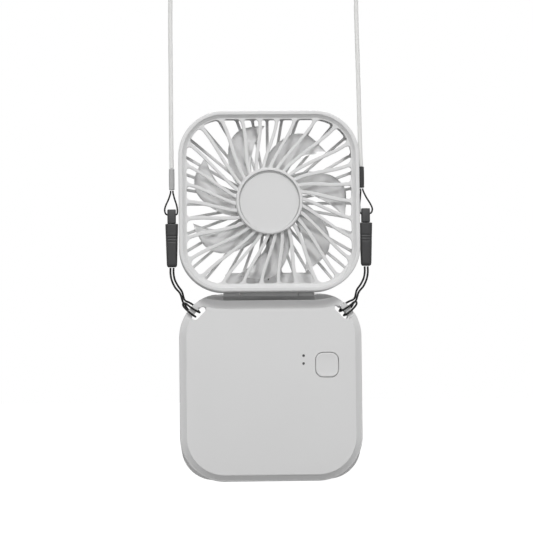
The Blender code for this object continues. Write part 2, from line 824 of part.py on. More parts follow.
def dome(x, z):
    """Depth of the front grille's face: flat by the hub, falling back to the rim's foot."""
    radius = math.hypot(x, z)
    outer = front_reach(math.atan2(z, x))
    share = min(1.0, max(0.0, (radius - HUB_RING_RADIUS) / (outer - HUB_RING_RADIUS)))
    foot = FRONT_Y + RIM_DEPTH
    return HUB_SEAT_Y + (foot - HUB_SEAT_Y) * share**2


def make_front_grille(look, pivot, pivot_place):
    foot = FRONT_Y + RIM_DEPTH
    face_end = RIM_ROUND + RIM_FLAT
    facet_end = face_end + RIM_FACET
    inner = facet_end + RIM_SLOPE
    back = SEAM_Y - CLEARANCE / 2
    groove = WALL - LIP_WALL - CLEARANCE
    rim = loft(
        "rim",
        head_rings(
            (
                (0, back),
                (0, FRONT_Y + 2.2 * RIM_ROUND),
                (0.30 * RIM_ROUND, FRONT_Y + 0.9 * RIM_ROUND),
                (0.65 * RIM_ROUND, FRONT_Y + 0.25 * RIM_ROUND),
                (RIM_ROUND, FRONT_Y),
                (face_end, FRONT_Y),
                (facet_end, FRONT_Y + RIM_FACET),
                (inner, foot + BAR_DEPTH * 0.3),
                (inner, foot + BAR_DEPTH * 0.7),
                (WALL, foot + BAR_DEPTH * 0.9),
                (WALL, back - LIP_DEPTH - CLEARANCE),
                (groove, back - LIP_DEPTH - CLEARANCE),
                (groove, back),
            )
        ),
        closed=True,
    )
    plate_inset = (WALL + inner) / 2

    def edge_reach(angle):
        return reach(angle, HEAD_SIDE / 2 - plate_inset, HEAD_CORNER - plate_inset)

    layout = BarPlate(
        FRONT_BARS, 0, SWIRL, HUB_RING_RADIUS - BAR_ROOT, (SLOT_ROUND, SLOT_ROOT_ROUND), 4, 2, BAR_CHAMFER
    )
    bars = layout.build(
        "bars",
        lambda number: BAR_WIDTH,
        lambda number: front_reach,
        lambda number: front_reach,
        edge_reach,
        HUB_RING_RADIUS - 3 * BAR_ROOT,
        BAR_DEPTH,
        dome,
    )
    bars.data.transform(Matrix.Translation((0, 0, HEAD_CENTRE_Z)))
    ring_top = FRONT_Y - HUB_RING_TOP
    disc_radius = HUB_RING_RADIUS - HUB_RING_SLOPE - HUB_RING_TOP
    ring = turned(
        "hub_ring",
        (
            (HUB_RING_RADIUS + BAR_CHAMFER, -(HUB_SEAT_Y + BAR_DEPTH * 0.4)),
            (HUB_RING_RADIUS, -(ring_top + HUB_RING_TOP)),
            (HUB_RING_RADIUS - HUB_RING_TOP, -ring_top),
            (disc_radius + CLEARANCE, -(ring_top + HUB_RECESS)),
            (disc_radius + CLEARANCE, -(HUB_SEAT_Y + BAR_DEPTH * 0.2)),
            (disc_radius - WALL, -(HUB_SEAT_Y + BAR_DEPTH * 0.4)),
        ),
        HUB_STEPS,
        Matrix.Translation((0, 0, HEAD_CENTRE_Z)) @ ALONG_Y,
        closed=True,
    )
    join(rim, bars, ring)
    for x, z in HEAD_SCREWS:
        boss = rod(
            "boss",
            HEAD_BOSS_RADIUS,
            Vector((x, foot + BAR_DEPTH * 0.5, z)),
            Vector((x, HEAD_BOSS_END_Y - CLEARANCE, z)),
        )
        join(rim, boss)
        pilot = rod(
            "pilot",
            HEAD_SCREW_RADIUS + CLEARANCE,
            Vector((x, BACK_Y - SCREW_LENGTH - SCREW_HEAD_HEIGHT - SCREW_RECESS - CLEARANCE, z)),
            Vector((x, BACK_Y, z)),
        )
        cut(rim, pilot)
    finish(rim, "front_grille", look, pivot, pivot_place)
    cap = turned(
        "hub_cap",
        (
            (disc_radius - BAR_CHAMFER, -(ring_top + HUB_RECESS)),
            (disc_radius, -(ring_top + HUB_RECESS + BAR_CHAMFER)),
            (disc_radius, -(HUB_SEAT_Y - CLEARANCE)),
        ),
        HUB_STEPS,
        Matrix.Translation((0, 0, HEAD_CENTRE_Z)) @ ALONG_Y,
    )
    finish(cap, "hub_cap", look, pivot, pivot_place)


def make_rear_cover(look, pivot, pivot_place):
    plate_front = BACK_Y - REAR_PLATE
    seam = SEAM_Y + CLEARANCE / 2
    lip_out = WALL - LIP_WALL
    rim = loft(
        "rear_rim",
        head_rings(
            (
                (0, seam),
                (0, BACK_Y - REAR_ROUND),
                (0.15 * REAR_ROUND, BACK_Y - 0.5 * REAR_ROUND),
                (0.5 * REAR_ROUND, BACK_Y - 0.15 * REAR_ROUND),
                (REAR_ROUND, BACK_Y),
                (GRILLE_INSET - CLEARANCE, BACK_Y - REAR_PLATE * 0.3),
                (GRILLE_INSET - CLEARANCE, plate_front + REAR_PLATE * 0.2),
                (WALL, plate_front - REAR_PLATE * 0.5),
                (WALL, seam - LIP_DEPTH),
                (lip_out, seam - LIP_DEPTH),
                (lip_out, seam),
            )
        ),
        closed=True,
    )
    plate_inset = (WALL + GRILLE_INSET) / 2
    layout = BarPlate(
        REAR_BARS,
        -math.pi / 2,
        0,
        REAR_HUB_RADIUS,
        (SLOT_ROUND / 2, SLOT_ROOT_ROUND / 2),
        1,
        1,
        0,
    )

    def edge_reach(angle):
        return reach(angle, HEAD_SIDE / 2 - plate_inset, HEAD_CORNER - plate_inset)

    def slot_reach(number):
        return block_reach if above_block(layout.start + layout.pitch * (number + 1 / 2)) else front_reach

    def bar_reach(number):
        """A bar stops at the block only between two slots that do."""
        return slot_reach(number) if slot_reach(number - 1) == slot_reach(number) else front_reach

    bars = layout.build(
        "rear_bars",
        lambda number: LEAD_SPOKE if number % REAR_BARS == 0 else REAR_BAR_WIDTH,
        slot_reach,
        bar_reach,
        edge_reach,
        REAR_HUB_RADIUS - BAR_WIDTH,
        REAR_PLATE * 0.9,
        lambda x, z: BACK_Y - REAR_PLATE * 0.95,
    )
    bars.data.transform(Matrix.Translation((0, 0, HEAD_CENTRE_Z)))
    block = prism(
        "block",
        rounded_rectangle(
            BLOCK_WIDTH,
            BLOCK_HEIGHT - WALL,
            SLOT_ROUND / 2,
            0,
            HEAD_LIFT + (BLOCK_HEIGHT + WALL) / 2,
            2,
        ),
        BACK_Y - BLOCK_DEPTH,
        BACK_Y - REAR_PLATE / 2,
    )
    boss_radius = BEARING_RADIUS + CLEARANCE + BOSS_WALL
    centre = Matrix.Translation((0, 0, HEAD_CENTRE_Z)) @ ALONG_Y
    boss = turned(
        "motor_boss",
        (
            (boss_radius, -STATOR_FRONT_Y),
            (boss_radius, -(BACK_Y - REAR_PLATE / 2)),
            (BEARING_RADIUS + CLEARANCE, -(BACK_Y - REAR_PLATE / 2)),
            (BEARING_RADIUS + CLEARANCE, -STATOR_FRONT_Y),
        ),
        HUB_STEPS // 2,
        centre,
        closed=True,
    )
    barrel = rod(
        "barrel",
        HINGE_RADIUS,
        Vector((-HEAD_KNUCKLE, HINGE_Y, HINGE_Z)),
        Vector((HEAD_KNUCKLE, HINGE_Y, HINGE_Z)),
        24,
    )
    web = loft(
        "web",
        [
            [
                Vector((side * (HEAD_KNUCKLE - WEB_INSET), y, z))
                for y, z in (
                    (HINGE_Y - HINGE_RADIUS / 2, HINGE_Z + HINGE_RADIUS / 2),
                    (BACK_Y - CLEARANCE / 2, HINGE_Z + HINGE_RADIUS / 2),
                    (BACK_Y - CLEARANCE / 2, HEAD_LIFT + WALL + REAR_ROUND),
                    (HINGE_Y - HINGE_RADIUS / 2, HEAD_LIFT + WALL + REAR_ROUND),
                )
            ]
            for side in (-1, 1)
        ],
    )
    join(rim, bars, block, boss, web, barrel)
    for side in (-1, 1):
        room = rod(
            "knuckle_room",
            HINGE_RADIUS + CLEARANCE,
            Vector((side * HEAD_KNUCKLE, HINGE_Y, HINGE_Z)),
            Vector((side * (KNUCKLE_END + CLEARANCE), HINGE_Y, HINGE_Z)),
            24,
        )
        bore = rod(
            "sleeve_bore",
            FRICTION_SLEEVE_RADIUS + CLEARANCE,
            Vector((side * (PIN_INNER_X - CLEARANCE), HINGE_Y, HINGE_Z)),
            Vector((side * (HEAD_KNUCKLE + OVERRUN), HINGE_Y, HINGE_Z)),
        )
        cut(rim, room, bore)
    lead_room = [Vector(point) for point in LEAD_IN_HEAD[2:]]
    lead_room.append(lead_room[-1] + Vector((-2 * OVERRUN, 0, 0)))
    cut(rim, channel("lead_room", lead_room))
    for x, z in HEAD_SCREWS:
        collar = rod(
            "collar",
            HEAD_BOSS_RADIUS,
            Vector((x, HEAD_BOSS_END_Y, z)),
            Vector((x, BACK_Y - REAR_PLATE / 3, z)),
        )
        join(rim, collar)
        through = rod(
            "through",
            HEAD_SCREW_RADIUS + CLEARANCE,
            Vector((x, HEAD_BOSS_END_Y - OVERRUN, z)),
            Vector((x, BACK_Y + OVERRUN, z)),
        )
        seat = rod(
            "seat",
            HEAD_SCREW_HEAD + CLEARANCE,
            Vector((x, BACK_Y - SCREW_RECESS - SCREW_HEAD_HEIGHT - CLEARANCE, z)),
            Vector((x, BACK_Y + OVERRUN, z)),
        )
        cut(rim, through, seat)
    finish(rim, "rear_cover", look, pivot, pivot_place)


def channel(name, points):
    """A cutter along the lead's route."""
    made = tube(name, points, LEAD_CHANNEL, 2 * LEAD_CHANNEL)
    return as_mesh(made)


def make_screws(places, names, radius, head_radius, look, pivot, pivot_place):
    """Pan-head screws driven from the back."""
    socket = min(SCREW_SOCKET_RADIUS, radius)
    for (x, z), name in zip(places, names):
        frame = Matrix.Translation((x, 0, z)) @ ALONG_Y
        top = -(BACK_Y - SCREW_RECESS)
        screw = turned(
            name,
            (
                (socket, top + SCREW_SOCKET_DEPTH),
                (socket, top),
                (head_radius * SCREW_CROWN_SHARE, top),
                (head_radius, top + SCREW_HEAD_HEIGHT / 2),
                (head_radius, top + SCREW_HEAD_HEIGHT),
                (radius, top + SCREW_HEAD_HEIGHT),
                (radius, top + SCREW_LENGTH),
            ),
            SCREW_STEPS,
            frame,
        )
        finish(screw, name, look, pivot, pivot_place)


def blade_point(phase, radial, chord):
    """A point of a blade's middle surface; radial runs from hub to tip and chord from back edge to front edge."""
    root = IMPELLER_HUB_RADIUS - CUP_WALL / 2
    radius = root + (IMPELLER_RADIUS - root) * radial
    round_start = 1 - BLADE_TIP_ROUND / (IMPELLER_RADIUS - root)
    narrow = max(0.0, (radial - round_start) / (1 - round_start))
    corner = BLADE_TIP_ROUND / IMPELLER_RADIUS * (1 - math.sqrt(max(0.0, 1 - narrow**2)))
    middle = phase + BLADE_SWEEP * (1 - radial)
    span = BLADE_ROOT_SPAN + (BLADE_TIP_SPAN - BLADE_ROOT_SPAN) * radial
    low = middle - span / 2
    high = middle + span / 2 - corner
    angle = low + (high - low) * chord
    bow = BLADE_CAMBER * math.sin(math.pi * chord)
    y = BLADE_BACK_Y - BLADE_DEPTH * chord + bow
    return Vector((radius * math.cos(angle), y, radius * math.sin(angle) + HEAD_CENTRE_Z))


def make_blade(phase):
    shape = bmesh.new()
    radial_steps, chord_steps = (0, 0.25, 0.5, 0.75, 0.9, 0.96, 1), 4
    grid = []
    for radial in radial_steps:
        grid.append([shape.verts.new(blade_point(phase, radial, k / chord_steps)) for k in range(chord_steps + 1)])
    for near, far in zip(grid, grid[1:]):
        for k in range(chord_steps):
            shape.faces.new((near[k], near[k + 1], far[k + 1], far[k]))
    made = mesh_object("blade", shape)
    thick = made.modifiers.new("Thickness", "SOLIDIFY")
    thick.thickness = BLADE_THICKNESS
    thick.offset = 0
    thick.use_even_offset = True
    apply_modifiers(made)
    return made


def make_impeller(look, steel, magnet_look, pivot, pivot_place):
    centre = Matrix.Translation((0, 0, HEAD_CENTRE_Z)) @ ALONG_Y
    inner = IMPELLER_HUB_RADIUS - CUP_WALL
    collar = SHAFT_RADIUS + CLEARANCE + BOSS_WALL
    cup = turned(
        "cup",
        (
            (IMPELLER_HUB_RADIUS - CUP_WALL, -CUP_FRONT_Y),
            (IMPELLER_HUB_RADIUS, -(CUP_FRONT_Y + CUP_WALL * 0.6)),
            (IMPELLER_HUB_RADIUS, -CUP_BACK_Y),
            (inner, -CUP_BACK_Y),
            (inner, -(CUP_FRONT_Y + CUP_WALL)),
            (collar, -(CUP_FRONT_Y + CUP_WALL)),
            (collar, -(STATOR_FRONT_Y - CLEARANCE)),
            (SHAFT_RADIUS + CLEARANCE, -(STATOR_FRONT_Y - CLEARANCE)),
            (SHAFT_RADIUS + CLEARANCE, -(CUP_FRONT_Y + CUP_WALL * 0.7)),
        ),
        CUP_STEPS,
        centre,
    )
    for number in range(BLADES):
        join(cup, make_blade(FIRST_BLADE + math.tau * number / BLADES))
    room = turned(
        "cup_room",
        (
            (inner, -(CUP_BACK_Y + OVERRUN)),
            (inner, -(CUP_FRONT_Y + CUP_WALL + CLEARANCE / 2)),
            (collar + CLEARANCE / 2, -(CUP_FRONT_Y + CUP_WALL + CLEARANCE / 2)),
            (collar + CLEARANCE / 2, -(CUP_BACK_Y + OVERRUN)),
        ),
        CUP_STEPS,
        centre,
        closed=True,
    )
    cut(cup, room)
    finish(cup, "impeller", look, pivot, pivot_place)

    ring_out = inner - CLEARANCE
    ring_in = ring_out - ROTOR_RING_WALL
    magnet_out = ring_in - CLEARANCE
    magnet_in = magnet_out - MAGNET_WALL
    front = CUP_FRONT_Y + CUP_WALL + 2 * CLEARANCE
    for name, out, within, material_used in (
        ("rotor_ring", ring_out, ring_in, steel),
        ("magnet_ring", magnet_out, magnet_in, magnet_look),
    ):
        hoop = turned(
            name,
            ((out, -front), (out, -(CUP_BACK_Y - CLEARANCE)), (within, -(CUP_BACK_Y - CLEARANCE)), (within, -front)),
            CUP_STEPS,
            centre,
            closed=True,
        )
        finish(hoop, name, material_used, pivot, pivot_place)
    shaft_back = BACK_Y - REAR_PLATE - MOTOR_BOARD_THICKNESS
    shaft = rod(
        "motor_shaft",
        SHAFT_RADIUS,
        Vector((0, CUP_FRONT_Y + CUP_WALL * 0.7 + CLEARANCE, HEAD_CENTRE_Z)),
        Vector((0, shaft_back, HEAD_CENTRE_Z)),
    )
    finish(shaft, "motor_shaft", steel, pivot, pivot_place)
    clip_back = shaft_back - CLEARANCE
    clip = pipe(
        "shaft_retainer",
        RETAINER_RADIUS,
        SHAFT_RADIUS + CLEARANCE / 2,
        Vector((0, clip_back - RETAINER_THICKNESS, HEAD_CENTRE_Z)),
        Vector((0, clip_back, HEAD_CENTRE_Z)),
    )
    finish(clip, "shaft_retainer", steel, pivot, pivot_place)
    return clip_back - RETAINER_THICKNESS


def make_motor(retainer_front, copper, board_look, bronze, pivot, pivot_place):
    centre = Matrix.Translation((0, 0, HEAD_CENTRE_Z))
    bore = BEARING_RADIUS + CLEARANCE + BOSS_WALL + CLEARANCE
    outline = []
    waist = STATOR_RADIUS - BOSS_WALL
    for number in range(STATOR_POLES):
        for share, radius in zip(POLE_SHARES, (STATOR_RADIUS, STATOR_RADIUS, STATOR_RADIUS, waist)):
            angle = math.tau * (number + share) / STATOR_POLES
            outline.append((radius * math.cos(angle), radius * math.sin(angle)))
    turns = [-math.tau * k / len(outline) for k in range(len(outline))]
    hole = [(bore * math.cos(turn), bore * math.sin(turn)) for turn in turns]
    stator = plate("motor_stator", outline, [hole], STATOR_DEPTH, 0)
    stator.data.transform(centre @ Matrix.Translation((0, STATOR_FRONT_Y + STATOR_DEPTH / 2, 0)))
    finish(stator, "motor_stator", copper, pivot, pivot_place)
    board_back = BACK_Y - REAR_PLATE - CLEARANCE
    board = pipe(
        "motor_board",
        MOTOR_BOARD_RADIUS,
        bore,
        Vector((0, board_back - MOTOR_BOARD_THICKNESS, HEAD_CENTRE_Z)),
        Vector((0, board_back, HEAD_CENTRE_Z)),
        CUP_STEPS,
    )
    finish(board, "motor_board", board_look, pivot, pivot_place)
    bearing = pipe(
        "bearing_sleeve",
        BEARING_RADIUS,
        SHAFT_RADIUS + CLEARANCE / 3,
        Vector((0, STATOR_FRONT_Y + CLEARANCE, HEAD_CENTRE_Z)),
        Vector((0, retainer_front - CLEARANCE, HEAD_CENTRE_Z)),
    )
    finish(bearing, "bearing_sleeve", bronze, pivot, pivot_place)


def corner_frame(side):
    """The centre of an upper corner of the base, and the directions away from it and along its bar."""
    centre = Vector((side * (BASE_WIDTH / 2 - BASE_CORNER), 0, BASE_TOP - BASE_CORNER))
    diagonal = math.sqrt(0.5)
    return centre, Vector((side * diagonal, 0, diagonal)), Vector((-side * diagonal, 0, diagonal))


def corner_point(side, out, along, depth):
    centre, away, bar = corner_frame(side)
    return centre + away * out + bar * along + Vector((0, depth, 0))


def stadium(side, out, along, width, length):
    """Points (x, z) of a slot with round ends that lies along the corner bar."""
    steps = 6
    points = []
    for end in (1, -1):
        for step in range(steps + 1):
            angle = math.pi * step / steps
            place = corner_point(
                side,
                out + end * width / 2 * math.cos(angle),
                along + end * ((length - width) / 2 + width / 2 * math.sin(angle)),
                0,
            )
            points.append((place.x, place.z))
    return points


def base_cutters():
    """What is cut from both covers of the base: the head's tilt, the slots with their notches, the charging port."""
    cutters = []
    half = [(HEAD_SIDE / 2 - across, BASE_TOP + up) for across, up in TILT_OUTLINE]
    half.append((BASE_WIDTH / 2 + OVERRUN, HEAD_CENTRE_Z))
    outline = half + [(-x, z) for x, z in reversed(half)]
    tilt = prism("tilt", outline, -BODY_DEPTH * 2, BODY_DEPTH * 2)
    place = Vector((0, HINGE_Y, HINGE_Z))
    tilt.data.transform(
        Matrix.Translation(place) @ Matrix.Rotation(TILT_CUT, 4, "X") @ Matrix.Translation(-place)
    )
    cutters.append(tilt)
    for side in (-1, 1):
        cutters.append(
            prism(
                "lanyard_slot",
                stadium(side, SLOT_REACH, SLOT_SHIFT, LANYARD_SLOT_WIDTH, LANYARD_SLOT_LENGTH),
                FRONT_Y - OVERRUN,
                BACK_Y + OVERRUN,
            )
        )
        corners = (
            (SLOT_REACH, NOTCH_LOW),
            (SLOT_REACH + NOTCH_REACH, NOTCH_LOW),
            (SLOT_REACH + NOTCH_REACH, NOTCH_HIGH),
            (SLOT_REACH, NOTCH_HIGH),
        )
        places = [corner_point(side, out, along, 0) for out, along in corners]
        notch = [(place.x, place.z) for place in places]
        for near, far in ((FRONT_Y - OVERRUN, -BAR_HALF_DEPTH), (BAR_HALF_DEPTH, BACK_Y + OVERRUN)):
            cutters.append(prism("notch", notch, near, far))
    return cutters


def usb_outline(grow):
    """Points (y, z) of the charging port's opening, round the seam."""
    steps = 6
    half = USB_HEIGHT / 2 + grow
    points = []
    for end in (1, -1):
        for step in range(steps + 1):
            angle = math.pi * step / steps
            points.append(
                (
                    SEAM_Y + end * half * math.cos(angle),
                    USB_Z + end * ((USB_WIDTH - USB_HEIGHT) / 2 + half * math.sin(angle)),
                )
            )
    return points


def usb_prism(name, grow, from_x, to_x):
    return loft(name, [[Vector((x, y, z)) for y, z in usb_outline(grow)] for x in (from_x, to_x)])


def make_base_front(look, pivot):
    back = SEAM_Y - CLEARANCE / 2
    floor = FRONT_Y + WALL
    groove = WALL - LIP_WALL - CLEARANCE
    grow = WALL - groove
    cover = loft(
        "front",
        [
            base_ring(BORDER, FRONT_Y),
            base_ring(BORDER_ROUND, FRONT_Y + BORDER_DEPTH - BORDER_ROUND),
            base_ring(BORDER_ROUND * 0.3, FRONT_Y + BORDER_DEPTH),
            base_ring(0, FRONT_Y + BORDER_DEPTH + BORDER_ROUND),
            base_ring(0, back),
            cavity_ring(grow, back),
            cavity_ring(grow, back - LIP_DEPTH - CLEARANCE),
            cavity_ring(0, back - LIP_DEPTH - CLEARANCE),
            cavity_ring(0, floor + BORDER_DEPTH),
            cavity_ring(-BORDER + WALL / 2, floor),
        ],
    )
    for x, z in BASE_SCREWS:
        join(cover, rod("boss", BOSS_RADIUS, Vector((x, floor - WALL / 2, z)), Vector((x, back, z))))
        deep = BACK_Y - SCREW_RECESS - SCREW_LENGTH - CLEARANCE
        cut(cover, rod("pilot", SCREW_RADIUS + CLEARANCE, Vector((x, deep, z)), Vector((x, BACK_Y, z))))
    for x, z in POST_PLACES:
        top = BOARD_FRONT_Y - CLEARANCE
        join(cover, rod("post", POST_RADIUS, Vector((x, floor - WALL / 2, z)), Vector((x, top, z)), 12))
    cut(cover, *base_cutters())
    hole = rounded_rectangle(
        BUTTON_WIDTH + 2 * CLEARANCE,
        BUTTON_HEIGHT + 2 * CLEARANCE,
        BUTTON_CORNER + CLEARANCE,
        BUTTON_X,
        BUTTON_Z,
        5,
    )
    cut(cover, prism("button_hole", hole, FRONT_Y - OVERRUN, floor + OVERRUN))
    for z in (LIGHT_HIGH_Z, LIGHT_LOW_Z):
        light_hole = rod(
            "light_hole",
            LIGHT_RADIUS + LIGHT_GAP,
            Vector((LIGHT_X, FRONT_Y - OVERRUN, z)),
            Vector((LIGHT_X, floor + OVERRUN, z)),
            12,
        )
        cut(cover, light_hole)
    cut(cover, usb_prism("port", CLEARANCE, BASE_WIDTH / 2 - WALL - OVERRUN, BASE_WIDTH / 2 + OVERRUN))
    finish(cover, "base_front_cover", look, pivot)


def make_base_back(look, pivot):
    seam = SEAM_Y + CLEARANCE / 2
    floor = BACK_Y - WALL
    lip = LIP_WALL
    cover = loft(
        "back",
        [
            base_ring(BACK_ROUND, BACK_Y),
            base_ring(0.5 * BACK_ROUND, BACK_Y - 0.15 * BACK_ROUND),
            base_ring(0.15 * BACK_ROUND, BACK_Y - 0.5 * BACK_ROUND),
            base_ring(0, BACK_Y - BACK_ROUND),
            base_ring(0, seam),
            cavity_ring(lip, seam),
            cavity_ring(lip, seam - LIP_DEPTH),
            cavity_ring(0, seam - LIP_DEPTH),
            cavity_ring(0, floor - BACK_ROUND / 2),
            cavity_ring(-BACK_ROUND / 2, floor),
        ],
    )
    cut(cover, *base_cutters())
    for side in (-1, 1):
        knuckle = rod(
            "knuckle",
            HINGE_RADIUS,
            Vector((side * (HEAD_KNUCKLE + CLEARANCE), HINGE_Y, HINGE_Z)),
            Vector((side * KNUCKLE_END, HINGE_Y, HINGE_Z)),
            24,
        )
        join(cover, knuckle)
    reach_x = HEAD_KNUCKLE + CLEARANCE
    room = rod(
        "barrel_room",
        HINGE_RADIUS + CLEARANCE,
        Vector((-reach_x, HINGE_Y, HINGE_Z)),
        Vector((reach_x, HINGE_Y, HINGE_Z)),
        24,
    )
    cut(cover, room)
    for inner, outer in ((-HEAD_KNUCKLE, -LEAD_PIN_OUTER_X - CLEARANCE), (HEAD_KNUCKLE, PIN_OUTER_X + CLEARANCE)):
        bore = rod(
            "pin_bore",
            PIN_RADIUS + CLEARANCE,
            Vector((inner, HINGE_Y, HINGE_Z)),
            Vector((outer, HINGE_Y, HINGE_Z)),
        )
        cut(cover, bore)
    cut(cover, channel("lead_room", LEAD_IN_BASE[1:10]))
    for x, z in BASE_SCREWS:
        collar = rod(
            "collar", BOSS_RADIUS, Vector((x, SEAM_Y + CLEARANCE / 2, z)), Vector((x, floor + WALL / 2, z))
        )
        join(cover, collar)
        seat = rod(
            "seat",
            SCREW_HEAD_RADIUS + CLEARANCE,
            Vector((x, BACK_Y - SCREW_RECESS - SCREW_HEAD_HEIGHT - CLEARANCE, z)),
            Vector((x, BACK_Y + OVERRUN, z)),
        )
        through = rod(
            "through", SCREW_RADIUS + CLEARANCE, Vector((x, SEAM_Y - OVERRUN, z)), Vector((x, BACK_Y + OVERRUN, z))
        )
        cut(cover, through, seat)
    cut(cover, usb_prism("port", CLEARANCE, BASE_WIDTH / 2 - WALL - OVERRUN, BASE_WIDTH / 2 + OVERRUN))
    finish(cover, "base_back_cover", look, pivot)


def make_button(look, pivot, pivot_place):
    outline = rounded_rectangle(BUTTON_WIDTH, BUTTON_HEIGHT, BUTTON_CORNER, BUTTON_X, BUTTON_Z, 5)
    rim = CLEARANCE
    top = rounded_rectangle(
        BUTTON_WIDTH - 2 * rim, BUTTON_HEIGHT - 2 * rim, BUTTON_CORNER - rim, BUTTON_X, BUTTON_Z, 5
    )
    flange = rounded_rectangle(
        BUTTON_WIDTH + 2 * BUTTON_FLANGE,
        BUTTON_HEIGHT + 2 * BUTTON_FLANGE,
        BUTTON_CORNER + BUTTON_FLANGE,
        BUTTON_X,
        BUTTON_Z,
        5,
    )
    behind = FRONT_Y + WALL + CLEARANCE
    button = loft(
        "button",
        [
            at_depth(top, FRONT_Y),
            at_depth(outline, FRONT_Y + rim),
            at_depth(outline, behind),
            at_depth(flange, behind),
            at_depth(flange, behind + BUTTON_FLANGE_DEPTH),
        ],
    )
    nub_end = BOARD_FRONT_Y - CLEARANCE - SWITCH_DEPTH - BUTTON_TRAVEL - LIGHT_GAP
    nub = rod(
        "nub",
        BUTTON_NUB_RADIUS,
        Vector((BUTTON_X, behind + BUTTON_FLANGE_DEPTH / 2, BUTTON_Z)),
        Vector((BUTTON_X, nub_end, BUTTON_Z)),
        12,
    )
    join(button, nub)
    finish(button, "power_button", look, pivot, pivot_place)


def box_outline(left, right, low, high, corner, steps=2):
    return rounded_rectangle(right - left, high - low, corner, (left + right) / 2, (low + high) / 2, steps)


def make_base_inside(looks, pivot):
    battery_back = BACK_Y - WALL - CLEARANCE
    body = box_outline(BATTERY_LEFT, BATTERY_RIGHT, BATTERY_BOTTOM, BATTERY_TOP, BATTERY_CORNER)
    edge = box_outline(
        BATTERY_LEFT + BATTERY_EDGE,
        BATTERY_RIGHT - BATTERY_EDGE,
        BATTERY_BOTTOM + BATTERY_EDGE,
        BATTERY_TOP - BATTERY_EDGE,
        BATTERY_CORNER - BATTERY_EDGE / 2,
    )
    battery = loft(
        "battery",
        [
            at_depth(edge, BATTERY_FRONT_Y),
            at_depth(body, BATTERY_FRONT_Y + BATTERY_EDGE),
            at_depth(body, battery_back - BATTERY_EDGE),
            at_depth(edge, battery_back),
        ],
    )
    finish(battery, "battery", looks["foil"], pivot)

    outline = box_outline(BOARD_LEFT, BOARD_RIGHT, BOARD_BOTTOM, BOARD_TOP, BOARD_CORNER)
    board = prism("circuit_board", outline, BOARD_FRONT_Y, BOARD_FRONT_Y + BOARD_THICKNESS)
    finish(board, "circuit_board", looks["board"], pivot)

    switch_back = BOARD_FRONT_Y - CLEARANCE
    half = SWITCH_SIDE / 2
    switch = loft(
        "switch",
        [
            at_depth(
                box_outline(
                    BUTTON_X - half + inset,
                    BUTTON_X + half - inset,
                    BUTTON_Z - half + inset,
                    BUTTON_Z + half - inset,
                    SWITCH_PLATE,
                ),
                depth,
            )
            for inset, depth in (
                (SWITCH_PLATE, switch_back - SWITCH_DEPTH),
                (0, switch_back - SWITCH_DEPTH + SWITCH_PLATE),
                (0, switch_back),
            )
        ],
    )
    finish(switch, "push_switch", looks["steel"], pivot)

    guide_back = switch_back
    floor = FRONT_Y + WALL + CLEARANCE
    middle = (LIGHT_HIGH_Z + LIGHT_LOW_Z) / 2
    long = LIGHT_HIGH_Z - LIGHT_LOW_Z + LIGHT_BAR_WIDTH
    bar = box_outline(
        LIGHT_X - LIGHT_BAR_WIDTH / 2,
        LIGHT_X + LIGHT_BAR_WIDTH / 2,
        middle - long / 2,
        middle + long / 2,
        LIGHT_RADIUS,
    )
    guide = prism("guide", bar, floor, guide_back)
    for z in (LIGHT_HIGH_Z, LIGHT_LOW_Z):
        pip = rod(
            "pip",
            LIGHT_RADIUS,
            Vector((LIGHT_X, FRONT_Y + LIGHT_GAP, z)),
            Vector((LIGHT_X, floor + LIGHT_BAR_DEPTH / 2, z)),
            12,
        )
        join(guide, pip)
    finish(guide, "light_guide", looks["clear"], pivot)

    port = usb_prism("port", 0, USB_FACE_X - USB_DEPTH, USB_FACE_X)
    hollow = usb_prism("hollow", -USB_WALL, USB_FACE_X - USB_DEPTH + USB_WALL, USB_FACE_X + OVERRUN)
    tongue = loft(
        "tongue",
        [
            [
                Vector((x, SEAM_Y + side_y * USB_TONGUE / 2, USB_Z + side_z * USB_TONGUE_WIDTH / 2))
                for side_y, side_z in ((1, 1), (-1, 1), (-1, -1), (1, -1))
            ]
            for x in (USB_FACE_X - USB_DEPTH + USB_WALL / 2, USB_FACE_X - OVERRUN)
        ],
    )
    cut(port, hollow)
    join(port, tongue)
    finish(port, "usb_c_socket", looks["steel"], pivot)


def make_hinge(looks, base_pivot, head_pivot, head_place):
    for side, name, outer, hollow in (
        (-1, "hinge_pin_left", LEAD_PIN_OUTER_X, True),
        (1, "hinge_pin_right", PIN_OUTER_X, False),
    ):
        start = Vector((side * PIN_INNER_X, HINGE_Y, HINGE_Z))
        end = Vector((side * outer, HINGE_Y, HINGE_Z))
        if hollow:
            pin = pipe(name, PIN_RADIUS, LEAD_RADIUS + CLEARANCE, start, end)
        else:
            pin = rod(name, PIN_RADIUS, start, end)
        finish(pin, name, looks["steel"], base_pivot)
    for side, name in ((-1, "friction_sleeve_left"), (1, "friction_sleeve_right")):
        sleeve = pipe(
            name,
            FRICTION_SLEEVE_RADIUS,
            PIN_RADIUS + CLEARANCE / 3,
            Vector((side * PIN_INNER_X, HINGE_Y, HINGE_Z)),
            Vector((side * HEAD_KNUCKLE, HINGE_Y, HINGE_Z)),
        )
        finish(sleeve, name, looks["bronze"], head_pivot, head_place)


def make_leads(look, base_pivot, head_pivot, head_place):
    for name, points, pivot, place in (
        ("motor_lead_head", LEAD_IN_HEAD, head_pivot, head_place),
        ("motor_lead_base", LEAD_IN_BASE, base_pivot, Vector((0, 0, 0))),
    ):
        lead = as_mesh(tube(name, points, LEAD_RADIUS, LEAD_STEP))
        finish(lead, name, look, pivot, place)


def buckle_ring(x, width, depth, height):
    outline = rounded_rectangle(width, depth, BUCKLE_CORNER, x, 0, BUCKLE_STEPS)
    return at_height(outline, height)


